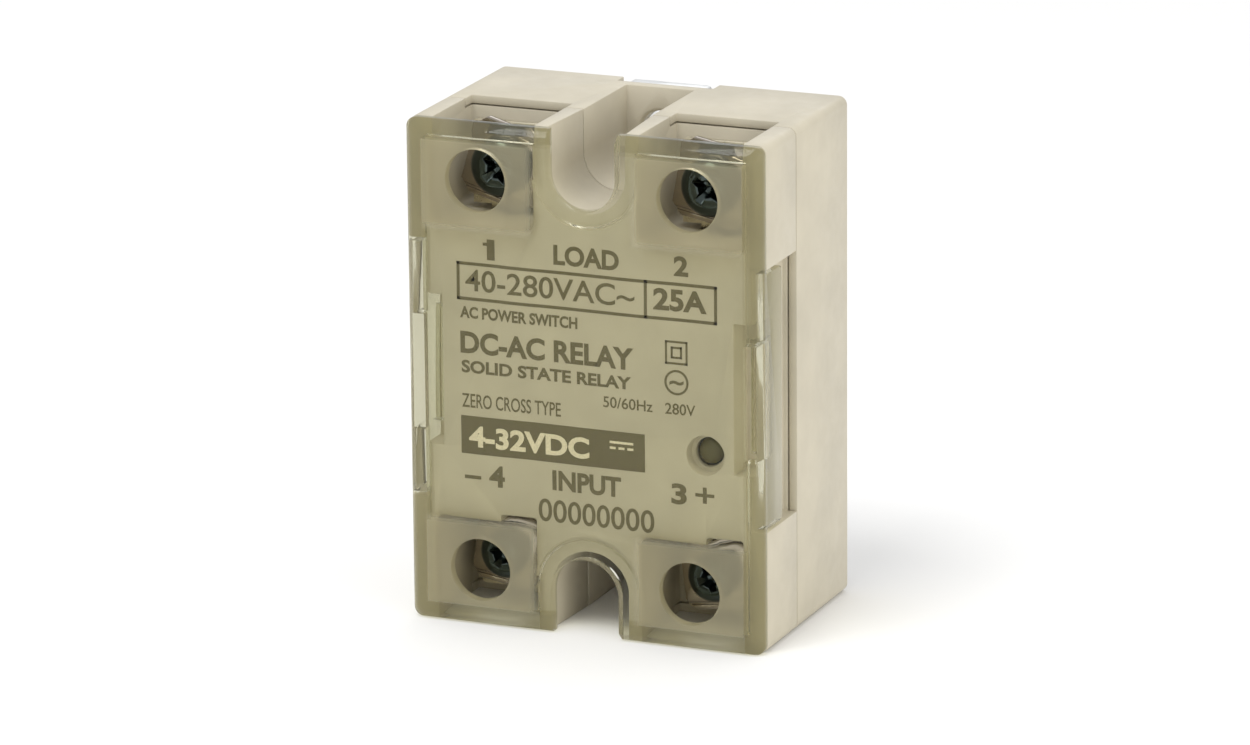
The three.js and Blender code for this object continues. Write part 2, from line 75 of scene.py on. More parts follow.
class Bench:
    """The work bench: shapes meshes with Blender's operators. Sizes are in millimetres."""

    @staticmethod
    def clear() -> None:
        """Leaves edit mode and deselects everything."""
        if bpy.context.mode != "OBJECT":
            bpy.ops.object.mode_set(mode="OBJECT")
        bpy.ops.object.select_all(action="DESELECT")

    @classmethod
    def pick(cls, *pieces: bpy.types.Object) -> None:
        """Selects these pieces alone, with the first one active."""
        cls.clear()
        for piece in pieces:
            piece.select_set(True)
        bpy.context.view_layer.objects.active = pieces[0]

    @classmethod
    def settle(cls, piece: bpy.types.Object, name: str) -> bpy.types.Object:
        """Puts a piece's place, turn and size into its mesh, and names both.

        Args:
            piece: The new object.
            name: Its name.

        Returns:
            The same object, at the origin.
        """
        cls.pick(piece)
        bpy.ops.object.transform_apply(location=True, rotation=True, scale=True)
        piece.name = name
        piece.data.name = name
        return piece

    @classmethod
    def block(cls, name: str, x: Span, y: Span, z: Span) -> bpy.types.Object:
        """A rectangular block.

        Args:
            name: The name of the block.
            x: Its low and high X.
            y: Its low and high Y.
            z: Its low and high Z.

        Returns:
            The block, with its place in its mesh.
        """
        cls.clear()
        centre = [sum(span) / 2 * MM for span in (x, y, z)]
        size = [abs(span[1] - span[0]) * MM for span in (x, y, z)]
        bpy.ops.mesh.primitive_cube_add(size=1.0, location=centre)
        piece = bpy.context.object
        piece.scale = size
        return cls.settle(piece, name)

    @classmethod
    def turned(
        cls, name: str, profile: Sequence[Span], centre: Span = (0.0, 0.0), sides: int = 48
    ) -> bpy.types.Object:
        """A round part, grown ring by ring along Y as if it were turned on a lathe.

        Args:
            name: The name of the part.
            profile: Radius and Y of each ring, from the back to the front or the other way.
            centre: X and Z of the axis.
            sides: Sides of each ring.

        Returns:
            The closed part.
        """
        cls.clear()
        radius, y = profile[0]
        place = Vector((centre[0], y, centre[1])) * MM
        bpy.ops.mesh.primitive_circle_add(
            vertices=sides,
            radius=radius * MM,
            fill_type="NGON",
            location=place,
            rotation=(math.pi / 2, 0, 0),
        )
        piece = cls.settle(bpy.context.object, name)
        bpy.ops.object.mode_set(mode="EDIT")
        bpy.ops.mesh.select_mode(type="FACE")
        bpy.ops.mesh.select_all(action="SELECT")
        for next_radius, next_y in profile[1:]:
            step = (0.0, (next_y - y) * MM, 0.0)
            bpy.ops.mesh.extrude_region_move(TRANSFORM_OT_translate={"value": step})
            grow = next_radius / radius
            if abs(grow - 1) > 1e-6:
                place = Vector((centre[0], next_y, centre[1])) * MM
                bpy.ops.transform.resize(value=(grow, 1.0, grow), center_override=place)
            radius, y = next_radius, next_y
        bpy.ops.mesh.select_all(action="SELECT")
        bpy.ops.mesh.normals_make_consistent(inside=False)
        bpy.ops.object.mode_set(mode="OBJECT")
        return piece

    @classmethod
    def rod(
        cls, name: str, centre: Span, radius: float, back: float, front: float, sides: int = 48
    ) -> bpy.types.Object:
        """A round rod along Y.

        Args:
            name: The name of the rod.
            centre: X and Z of its axis.
            radius: Its radius.
            back: Y of one end.
            front: Y of the other end.
            sides: Its sides.

        Returns:
            The rod.
        """
        return cls.turned(name, [(radius, back), (radius, front)], centre, sides)

    @classmethod
    def choose_edges(cls, piece: bpy.types.Object, test: EdgeTest) -> None:
        """Enters edit mode on a piece with the edges that pass a test selected.

        Args:
            piece: The piece to work on.
            test: Takes an edge's two ends in millimetres.
        """
        cls.pick(piece)
        mesh = piece.data
        bpy.ops.object.mode_set(mode="EDIT")
        bpy.ops.mesh.select_mode(type="EDGE")
        bpy.ops.mesh.select_all(action="DESELECT")
        bpy.ops.object.mode_set(mode="OBJECT")
        for edge in mesh.edges:
            a, b = (mesh.vertices[i].co / MM for i in edge.vertices)
            edge.select = test(a, b)
        bpy.ops.object.mode_set(mode="EDIT")

    @classmethod
    def choose_points(cls, piece: bpy.types.Object, test: Callable[[Vector], bool]) -> None:
        """Enters edit mode on a piece with the points that pass a test selected.

        Args:
            piece: The piece to work on.
            test: Takes a point in millimetres.
        """
        cls.pick(piece)
        bpy.ops.object.mode_set(mode="EDIT")
        bpy.ops.mesh.select_mode(type="VERT")
        bpy.ops.mesh.select_all(action="DESELECT")
        bpy.ops.object.mode_set(mode="OBJECT")
        for point in piece.data.vertices:
            point.select = test(point.co / MM)
        bpy.ops.object.mode_set(mode="EDIT")

    @classmethod
    def choose_faces(cls, piece: bpy.types.Object, test: FaceTest) -> None:
        """Enters edit mode on a piece with the faces that pass a test selected.

        Args:
            piece: The piece to work on.
            test: Takes a face's centre in millimetres and its normal.
        """
        cls.pick(piece)
        bpy.ops.object.mode_set(mode="EDIT")
        bpy.ops.mesh.select_mode(type="FACE")
        bpy.ops.mesh.select_all(action="DESELECT")
        bpy.ops.object.mode_set(mode="OBJECT")
        for face in piece.data.polygons:
            face.select = test(face.center / MM, face.normal)
        bpy.ops.object.mode_set(mode="EDIT")

    @classmethod
    def round_edges(
        cls, piece: bpy.types.Object, test: EdgeTest, radius: float, segments: int = 6
    ) -> bpy.types.Object:
        """Rounds, or with one segment chamfers, the edges that pass a test.

        Args:
            piece: The piece to work on.
            test: Takes an edge's two ends in millimetres.
            radius: How far the rounding reaches.
            segments: Flats in the rounding.

        Returns:
            The same piece.
        """
        cls.choose_edges(piece, test)
        bpy.ops.mesh.bevel(offset=radius * MM, segments=segments, affect="EDGES")
        bpy.ops.object.mode_set(mode="OBJECT")
        return piece

    @classmethod
    def apply(cls, piece: bpy.types.Object, kind: str, **settings: object) -> bpy.types.Object:
        """Adds a modifier with its settings and applies it at once.

        Args:
            piece: The piece to work on.
            kind: The modifier's type.
            settings: The modifier's own settings.

        Returns:
            The same piece.
        """
        cls.pick(piece)
        modifier = piece.modifiers.new(kind.title(), kind)
        for key, value in settings.items():
            setattr(modifier, key, value)
        bpy.ops.object.modifier_apply(modifier=modifier.name)
        return piece

    @classmethod
    def cut(cls, piece: bpy.types.Object, *tools: bpy.types.Object) -> bpy.types.Object:
        """Cuts each tool out of a piece, and puts the tools away."""
        return cls._combine(piece, tools, "DIFFERENCE")

    @classmethod
    def weld(cls, piece: bpy.types.Object, *others: bpy.types.Object) -> bpy.types.Object:
        """Makes a piece and others one solid."""
        return cls._combine(piece, others, "UNION")

    @classmethod
    def _combine(
        cls, piece: bpy.types.Object, tools: Sequence[bpy.types.Object], operation: str
    ) -> bpy.types.Object:
        """Runs one boolean for each tool.

        Args:
            piece: The piece that is changed.
            tools: The pieces that change it, which are then removed.
            operation: DIFFERENCE or UNION.

        Returns:
            The changed piece.
        """
        for tool in tools:
            cls.apply(piece, "BOOLEAN", operation=operation, object=tool, solver="EXACT")
            bpy.data.meshes.remove(tool.data)
        return piece

    @classmethod
    def join(cls, name: str, *pieces: bpy.types.Object) -> bpy.types.Object:
        """Puts touching pieces into one object, each keeping its own finish.

        Args:
            name: The name of the whole.
            pieces: The pieces.

        Returns:
            The whole.
        """
        cls.pick(*pieces)
        if len(pieces) > 1:
            bpy.ops.object.join()
        whole = pieces[0]
        whole.name = name
        whole.data.name = name
        return whole

    @classmethod
    def tidy(cls, piece: bpy.types.Object) -> bpy.types.Object:
        """Merges doubled points and dissolves the extra edges on flat faces."""
        cls.pick(piece)
        bpy.ops.object.mode_set(mode="EDIT")
        bpy.ops.mesh.select_all(action="SELECT")
        bpy.ops.mesh.remove_doubles(threshold=0.002 * MM)
        bpy.ops.mesh.dissolve_limited(angle_limit=math.radians(0.4))
        bpy.ops.object.mode_set(mode="OBJECT")
        return piece

    @classmethod
    def seam(cls, piece: bpy.types.Object, axis: int, *places: float) -> bpy.types.Object:
        """Splits flat faces along planes, so that none of them runs all round a hole.

        Args:
            piece: The piece to work on.
            axis: 0, 1 or 2 for planes across X, Y or Z.
            places: Where the planes stand.

        Returns:
            The same piece.
        """
        cls.pick(piece)
        normal = [float(axis == k) for k in range(3)]
        bpy.ops.object.mode_set(mode="EDIT")
        for place in places:
            bpy.ops.mesh.select_all(action="SELECT")
            bpy.ops.mesh.bisect(plane_co=[place * MM * n for n in normal], plane_no=normal)
        bpy.ops.object.mode_set(mode="OBJECT")
        return piece

    @classmethod
    def ease(
        cls, piece: bpy.types.Object, width: float, segments: int = 2, angle: float = 32,
        seams: Sequence[float] = (),
    ) -> bpy.types.Object:
        """Breaks all the sharp edges of a piece and shades it smooth between them.

        Args:
            piece: The piece to finish.
            width: Width of the broken edge.
            segments: Flats across it.
            angle: Edges sharper than this, in degrees, are broken.
            seams: X of each plane that flat faces are split along.

        Returns:
            The same piece.
        """
        cls.apply(
            cls.seam(cls.tidy(piece), 0, *seams),
            "BEVEL",
            width=width * MM,
            segments=segments,
            limit_method="ANGLE",
            angle_limit=math.radians(angle),
            use_clamp_overlap=False,
            miter_outer="MITER_ARC",
        )
        return cls.smooth(piece)

    @classmethod
    def smooth(cls, piece: bpy.types.Object, angle: float = 38) -> bpy.types.Object:
        """Shades a piece smooth, with hard edges above an angle in degrees."""
        cls.pick(piece)
        bpy.ops.object.shade_smooth_by_angle(angle=math.radians(angle))
        return piece

    @classmethod
    def copy(
        cls, piece: bpy.types.Object, name: str, turn: float, place: Vector
    ) -> bpy.types.Object:
        """A copy with its own mesh, turned about Y and put in its place.

        Args:
            piece: The pattern, made at the origin.
            name: The name of the copy.
            turn: Degrees clockwise, as seen from the front.
            place: Where the pattern's origin goes, in millimetres.

        Returns:
            The copy, with its place in its mesh.
        """
        cls.pick(piece)
        bpy.ops.object.duplicate()
        twin = bpy.context.object
        twin.data.transform(Matrix.Rotation(math.radians(turn), 4, "Y"))
        twin.data.transform(Matrix.Translation(place * MM))
        twin.name = name
        twin.data.name = name
        return twin

    @staticmethod
    def discard(*pieces: bpy.types.Object) -> None:
        """Removes patterns that have been copied."""
        for piece in pieces:
            bpy.data.meshes.remove(piece.data)

    @staticmethod
    def dress(piece: bpy.types.Object, material: bpy.types.Material) -> bpy.types.Object:
        """Gives a whole piece one material."""
        piece.data.materials.clear()
        piece.data.materials.append(material)
        return piece


class Recipe:
    """The nodes of one material, put together step by step."""

    def __init__(self, name: str) -> None:
        """Starts a material with a Principled shader.

        Args:
            name: The name of the material.
        """
        self.material = bpy.data.materials.new(name)
        self.material.use_nodes = True
        self.nodes = self.material.node_tree.nodes
        self.shader = self.nodes["Principled BSDF"]
        self.output = self.nodes["Material Output"]
        self.place = self.add("ShaderNodeTexCoord").outputs["Object"]

    def add(self, kind: str, **settings: object) -> bpy.types.Node:
        """Adds a node.

        Args:
            kind: The node's type.
            settings: The node's own settings.

        Returns:
            The node.
        """
        node = self.nodes.new(kind)
        for key, value in settings.items():
            setattr(node, key, value)
        return node

    def link(self, source: bpy.types.NodeSocket, target: bpy.types.NodeSocket) -> None:
        """Joins two sockets."""
        self.material.node_tree.links.new(source, target)

    def set(self, **values: object) -> None:
        """Sets sockets of the shader by name, with _ for a space."""
        for key, value in values.items():
            self.shader.inputs[key.replace("_", " ")].default_value = value

    def stretched(self, scale: Colour) -> bpy.types.NodeSocket:
        """Object coordinates with a scale of their own along each axis.

        Args:
            scale: The scale along X, Y and Z.

        Returns:
            The scaled coordinates.
        """
        mapping = self.add("ShaderNodeMapping")
        mapping.inputs["Scale"].default_value = scale
        self.link(self.place, mapping.inputs["Vector"])
        return mapping.outputs["Vector"]

    def noise(
        self, scale: float, detail: float = 3, place: bpy.types.NodeSocket | None = None
    ) -> bpy.types.NodeSocket:
        """Cloudy noise.

        Args:
            scale: Waves per metre.
            detail: Finer waves on top.
            place: The coordinates, where they aren't the object's own.

        Returns:
            The noise, about 0.5 on average.
        """
        node = self.add("ShaderNodeTexNoise")
        node.inputs["Scale"].default_value = scale
        node.inputs["Detail"].default_value = detail
        self.link(place or self.place, node.inputs["Vector"])
        return node.outputs["Fac"]

    def spread(self, value: bpy.types.NodeSocket, low: float, high: float) -> bpy.types.NodeSocket:
        """Noise stretched to run from one number to another.

        Args:
            value: Noise of about 0.3 to 0.7.
            low: The result at the low end.
            high: The result at the high end.

        Returns:
            The new range.
        """
        node = self.add("ShaderNodeMapRange")
        for socket, number in zip(node.inputs[1:5], (0.3, 0.7, low, high)):
            socket.default_value = number
        self.link(value, node.inputs["Value"])
        return node.outputs["Result"]

    def beyond(self, axis: int, start: float, stop: float) -> bpy.types.NodeSocket:
        """A ramp that rises from 0 to 1 with the distance from the middle.

        Args:
            axis: 0, 1 or 2 for X, Y or Z.
            start: The distance at which it starts to rise, in millimetres.
            stop: The distance at which it reaches 1.

        Returns:
            The ramp.
        """
        split = self.add("ShaderNodeSeparateXYZ")
        self.link(self.place, split.inputs[0])
        node = self.add("ShaderNodeMapRange", interpolation_type="SMOOTHSTEP")
        for socket, number in zip(node.inputs[1:5], (start * MM, stop * MM, 0.0, 1.0)):
            socket.default_value = number
        self.link(self.math("ABSOLUTE", split.outputs[axis]), node.inputs["Value"])
        return node.outputs["Result"]

    def math(self, kind: str, *values: bpy.types.NodeSocket | float) -> bpy.types.NodeSocket:
        """One step of arithmetic on sockets or numbers, with the result kept within 0 and 1."""
        node = self.add("ShaderNodeMath", operation=kind, use_clamp=True)
        for value, socket in zip(values, node.inputs):
            if isinstance(value, float):
                socket.default_value = value
            else:
                self.link(value, socket)
        return node.outputs["Value"]

    def run(self, value: bpy.types.NodeSocket, low: float, high: float) -> bpy.types.NodeSocket:
        """A number that runs from low to high as a value goes from 0 to 1."""
        node = self.add("ShaderNodeMapRange")
        node.inputs["To Min"].default_value = low
        node.inputs["To Max"].default_value = high
        self.link(value, node.inputs["Value"])
        return node.outputs["Result"]

    def mix(
        self, factor: bpy.types.NodeSocket, low: Sequence[float] | bpy.types.NodeSocket, high: Sequence[float]
    ) -> bpy.types.NodeSocket:
        """A colour between two colours.

        Args:
            factor: 0 for the first colour, 1 for the second.
            low: The first colour, or the socket that gives it.
            high: The second colour.

        Returns:
            The colour.
        """
        node = self.add("ShaderNodeMix", data_type="RGBA")
        if isinstance(low, bpy.types.NodeSocket):
            self.link(low, node.inputs[6])
        else:
            node.inputs[6].default_value = low
        node.inputs[7].default_value = high
        self.link(factor, node.inputs[0])
        return node.outputs[2]

    def blend(self, factor: bpy.types.NodeSocket, low: Sequence[float], high: Sequence[float]) -> None:
        """Colours the shader between two colours, as mix does."""
        self.link(self.mix(factor, low, high), self.shader.inputs["Base Color"])

    def rough(self, value: bpy.types.NodeSocket, low: float, high: float) -> None:
        """Varies the roughness from low to high with noise."""
        self.link(self.spread(value, low, high), self.shader.inputs["Roughness"])

    def bump(self, height: bpy.types.NodeSocket, depth: float, strength: float = 1.0) -> None:
        """Raises and lowers the surface, on top of any earlier bump.

        Args:
            height: The height, 0 to 1.
            depth: The height of 1, in millimetres.
            strength: How much of it shows.
        """
        node = self.add("ShaderNodeBump")
        node.inputs["Distance"].default_value = depth * MM
        node.inputs["Strength"].default_value = strength
        target = self.shader.inputs["Normal"]
        if target.is_linked:
            self.link(target.links[0].from_socket, node.inputs["Normal"])
        self.link(height, node.inputs["Height"])
        self.link(node.outputs["Normal"], target)


def shade(colour: Sequence[float], share: float) -> tuple[float, float, float, float]:
    """A colour made darker or lighter by a share of itself."""
    return (*(min(part * share, 1.0) for part in colour[:3]), 1.0)


class Grain(Enum):
    """The texture that a mould leaves on plastic: waves per metre, and depth in millimetres."""

    FINE = (9000.0, 0.012)
    SATIN = (14000.0, 0.005)
    GLOSS = (2500.0, 0.002)


@dataclass(frozen=True)
class Moulding:
    """An opaque moulded plastic."""

    name: str
    colour: tuple[float, float, float, float]
    roughness: Span = (0.42, 0.55)
    grain: Grain = Grain.FINE
    variation: float = 0.06

    def make(self) -> bpy.types.Material:
        """The material, with the mould's grain and slow changes of shade."""
        recipe = Recipe(self.name)
        scale, depth = self.grain.value
        slow = recipe.noise(160, 4)
        low, high = shade(self.colour, 1 - self.variation), shade(self.colour, 1 + self.variation)
        recipe.blend(recipe.spread(slow, 0, 1), low, high)
        recipe.rough(recipe.noise(700, 5), *self.roughness)
        recipe.bump(recipe.noise(scale, 2), depth)
        recipe.bump(recipe.noise(240, 2), 0.02, 0.6)
        recipe.set(IOR=1.5, Specular_IOR_Level=0.45)
        return recipe.material


@dataclass(frozen=True)
class ClearCover:
    """Smoky clear plastic, deeper in its thick rim, with painted shade over the pockets: there it is rougher, partly
    diffuse and darker, and lets less light through.
    """

    name: str
    panel: Colour
    rim: Colour
    # pocket is painted shade: the darker tint that stands for the shaded pocket interiors. shade is painted shade too:
    # the darker colour of the light let through to the pockets.
    pocket: Colour
    shade: Colour
    rim_at: Span = (19.2, 26.9)
    pocket_shade_at: Span = (6.3, 17.0)
    roughness: float = 0.04
    frost: float = 0.3
    diffuse_share: float = 0.22

    def make(self) -> bpy.types.Material:
        """The material: glossy and tinted, and light from lamps passes straight through it."""
        recipe = Recipe(self.name)
        recipe.set(IOR=1.13, Coat_Weight=0.2, Coat_Roughness=0.08, Coat_IOR=1.45)
        edges = [recipe.beyond(axis, at - 0.15, at + 0.15) for axis, at in zip((0, 2), self.rim_at)]
        edge = recipe.math("MAXIMUM", *edges)
        # Painted shade over the pockets: a darker, partly diffuse tint stands for the shaded pocket interiors.
        pockets = [recipe.beyond(axis, at - 0.7, at + 0.5) for axis, at in zip((0, 2), self.pocket_shade_at)]
        pockets.append(recipe.math("SUBTRACT", 1.0, edge))
        pocket = recipe.math("MULTIPLY", recipe.math("MULTIPLY", *pockets[:2]), pockets[2])
        tint = recipe.mix(edge, (*self.panel, 1.0), (*self.rim, 1.0))
        recipe.link(recipe.mix(pocket, tint, (*self.pocket, 1.0)), recipe.shader.inputs["Base Color"])
        recipe.link(recipe.run(pocket, self.roughness, self.frost), recipe.shader.inputs["Roughness"])
        diffuse_mask = recipe.math("MAXIMUM", recipe.math("MULTIPLY", edge, 0.3), pocket)
        recipe.link(recipe.run(diffuse_mask, 1.0, 1.0 - self.diffuse_share), recipe.shader.inputs["Transmission Weight"])
        recipe.bump(recipe.noise(130, 2), 0.002, 0.2)
        clear = recipe.add("ShaderNodeBsdfTransparent")
        half = [tuple(math.sqrt(part) for part in colour) for colour in (self.panel, self.rim)]
        passed = recipe.mix(edge, (*half[0], 1.0), (*half[1], 1.0))
        # Painted shade in the pockets: the light let through over them is darkened by the shade colour.
        recipe.link(recipe.mix(pocket, passed, (*self.shade, 1.0)), clear.inputs["Color"])
        rays = recipe.add("ShaderNodeLightPath")
        light = recipe.math("MAXIMUM", rays.outputs["Is Shadow Ray"], rays.outputs["Is Diffuse Ray"])
        mix = recipe.add("ShaderNodeMixShader")
        recipe.link(light, mix.inputs[0])
        recipe.link(recipe.shader.outputs[0], mix.inputs[1])
        recipe.link(clear.outputs[0], mix.inputs[2])
        recipe.link(mix.outputs[0], recipe.output.inputs["Surface"])
        return recipe.material


@dataclass(frozen=True)
class Metal:
    """A metal with fine lines along one axis and slight stains."""

    name: str
    colour: tuple[float, float, float, float]
    roughness: Span = (0.18, 0.32)
    lines: Colour = (400.0, 9000.0, 9000.0)
    depth: float = 0.003
    stain: float = 0.12

    def make(self) -> bpy.types.Material:
        """The material, lined and faintly stained."""
        recipe = Recipe(self.name)
        recipe.set(Metallic=1.0)
        slow = recipe.noise(420, 4)
        low, high = shade(self.colour, 1 - self.stain), shade(self.colour, 1 + self.stain / 2)
        recipe.blend(recipe.spread(slow, 0, 1), low, high)
        lined = recipe.noise(1.0, 3, recipe.stretched(self.lines))
        recipe.rough(lined, *self.roughness)
        recipe.bump(lined, self.depth)
        return recipe.material


@dataclass(frozen=True)
class Ink:
    """Printed ink, a little uneven, on the label face."""

    name: str
    colour: tuple[float, float, float, float]

    def make(self) -> bpy.types.Material:
        """The material, with fine specks where the ink is thin."""
        recipe = Recipe(self.name)
        recipe.blend(recipe.spread(recipe.noise(5200, 4), 0, 1), self.colour, shade(self.colour, 1.3))
        recipe.rough(recipe.noise(2600, 3), 0.45, 0.65)
        recipe.bump(recipe.noise(6000, 2), 0.003)
        return recipe.material


@dataclass(frozen=True)
class BandedPaint:
    """Lacquer with coloured bands round a part that lies along X."""

    name: str
    colour: tuple[float, float, float, float]
    bands: tuple[tuple[float, float, tuple[float, float, float, float]], ...]
    start: float
    length: float

    def make(self) -> bpy.types.Material:
        """The material, with hard-edged bands on a plain body."""
        recipe = Recipe(self.name)
        split = recipe.add("ShaderNodeSeparateXYZ")
        recipe.link(recipe.place, split.inputs[0])
        along = recipe.add("ShaderNodeMapRange")
        ends = (self.start * MM, (self.start + self.length) * MM, 0.0, 1.0)
        for socket, number in zip(along.inputs[1:5], ends):
            socket.default_value = number
        recipe.link(split.outputs["X"], along.inputs["Value"])
        ramp = recipe.add("ShaderNodeValToRGB")
        ramp.color_ramp.interpolation = "CONSTANT"
        ramp.color_ramp.elements[0].color = self.colour
        ramp.color_ramp.elements.remove(ramp.color_ramp.elements[1])
        for low, high, colour in self.bands:
            ramp.color_ramp.elements.new(low).color = colour
            ramp.color_ramp.elements.new(high).color = self.colour
        recipe.link(along.outputs[0], ramp.inputs[0])
        recipe.link(ramp.outputs["Color"], recipe.shader.inputs["Base Color"])
        recipe.rough(recipe.noise(900, 3), 0.28, 0.42)
        recipe.bump(recipe.noise(1800, 3), 0.02)
        return recipe.material


@dataclass(frozen=True)
class BoardLacquer:
    """Green lacquer over copper tracks on a circuit board."""

    name: str
    lacquer: tuple[float, float, float, float]
    track: tuple[float, float, float, float]

    def make(self) -> bpy.types.Material:
        """The material, with tracks that show as a lighter green and stand proud."""
        recipe = Recipe(self.name)
        tracks = recipe.add("ShaderNodeTexBrick", offset=0.37, squash=1.6, squash_frequency=3)
        turned = recipe.add("ShaderNodeMapping")
        turned.inputs["Rotation"].default_value = (math.pi / 2, 0, 0)
        recipe.link(recipe.place, turned.inputs["Vector"])
        recipe.link(turned.outputs[0], tracks.inputs["Vector"])
        tracks.inputs["Scale"].default_value = 150
        tracks.inputs["Mortar Size"].default_value = 0.05
        tracks.inputs["Mortar Smooth"].default_value = 0.1
        recipe.blend(tracks.outputs["Fac"], self.lacquer, self.track)
        recipe.rough(recipe.noise(600, 3), 0.25, 0.38)
        recipe.bump(tracks.outputs["Fac"], 0.04)
        return recipe.material


BEIGE = linear(190, 183, 165)


@dataclass
class CaseOutline:
    """The outline that the two shells and the cover share: round corners and a notch at each end."""

    half_x: float = 21.25
    half_z: float = 29.0
    corner: float = 1.0
    notch_radius: float = 4.1
    notch_centre: float = 24.1

    def notch_tool(self, end: int, inset: float, back: float, front: float, flare: float = 0.0) -> bpy.types.Object:
        """A tool that cuts one mounting notch.

        Args:
            end: 1 for the top, -1 for the bottom.
            inset: How much wider than the notch itself it is, all round.
            back: Y of its back end.
            front: Y of its front end.
            flare: How much wider still it is at the front end.

        Returns:
            The tool.
        """
        radius = self.notch_radius + inset
        centre = end * self.notch_centre
        tool = Bench.rod("notch_tool", (0.0, centre), radius, back, front, 64)
        pivot = Vector((0.0, 0.0, centre)) * MM
        Bench.choose_points(tool, lambda at: (at.z - centre) * end > 0.01)
        bpy.ops.transform.resize(value=(1.0, 1.0, 30.0), center_override=pivot)
        bpy.ops.object.mode_set(mode="OBJECT")
        if flare:
            Bench.choose_faces(tool, lambda at, normal: normal.y < -0.9)
            grow = 1 + flare / radius
            pivot = Vector((0.0, front, centre)) * MM
            bpy.ops.transform.resize(value=(grow, 1.0, grow), center_override=pivot)
            bpy.ops.object.mode_set(mode="OBJECT")
        return tool

    def slab(self, name: str, inset: float, back: float, front: float) -> bpy.types.Object:
        """The outline without its notches, as a block with round upright corners.

        Args:
            name: The name of the block.
            inset: How far inside the outline it stays.
            back: Y of its back face.
            front: Y of its front face.

        Returns:
            The block.
        """
        x, z = self.half_x - inset, self.half_z - inset
        piece = Bench.block(name, (-x, x), (front, back), (-z, z))
        corner = max(self.corner - inset, 0.3)
        return Bench.round_edges(piece, lambda a, b: abs(a.y - b.y) > 0.01, corner)

    def notched(self, name: str, inset: float, back: float, front: float) -> bpy.types.Object:
        """The outline with both notches, as a solid.

        Args:
            name: The name of the solid.
            inset: How far inside the outline it stays.
            back: Y of its back face.
            front: Y of its front face.

        Returns:
            The solid.
        """
        tools = [self.notch_tool(end, inset, back + 1, front - 1) for end in (1, -1)]
        return Bench.cut(self.slab(name, inset, back, front), *tools)


@dataclass
class RearCase:
    """The rear shell: walls round the notches, a rim round the base plate, a web at each notch."""

    outline: CaseOutline
    back: float = -0.2
    web_back: float = -2.1
    web_front: float = -3.6
    parting: float = -15.95
    wall: float = 1.0
    plate: Span = (19.45, 26.7)
    tongue_half: float = 5.8
    hole: float = 2.4
    hole_z: float = 23.8
    gap_x: Span = (6.3, 18.5)
    gap_y: float = -14.2

    def build(self, finish: bpy.types.Material) -> bpy.types.Object:
        """Moulds and finishes the shell.

        Args:
            finish: The case plastic.

        Returns:
            The shell.
        """
        shell = self.outline.slab("rear_shell", 0.0, self.back, self.parting)
        for end in (1, -1):
            Bench.cut(shell, self.outline.notch_tool(end, 0.0, self.web_front, self.parting - 1))
        Bench.cut(shell, self.outline.notched("hollow", self.wall, self.web_back, self.parting - 1))
        x, z = self.plate
        Bench.cut(shell, Bench.block("seat", (-x, x), (self.web_back, 1.0), (-z, z)))
        tongue = (-self.tongue_half, self.tongue_half)
        Bench.cut(shell, Bench.block("tongue_seat", tongue, (self.web_back, 1.0), (-40, 40)))
        for end in (1, -1):
            centre = (0.0, end * self.hole_z)
            chamfer = [(self.hole, 0.0), (self.hole, self.web_front + 0.3), (self.hole + 0.5, self.web_front - 0.2)]
            Bench.cut(shell, Bench.turned("screw_hole", chamfer, centre, 48))
            for side in (-1, 1):
                gap = ordered(side * self.gap_x[0], side * self.gap_x[1])
                Bench.cut(shell, Bench.block("gap", gap, (-30.0, self.gap_y), ordered(end * 27.5, end * 40)))
        Bench.dress(Bench.ease(shell, 0.14, seams=(0.0,)), finish)
        return shell


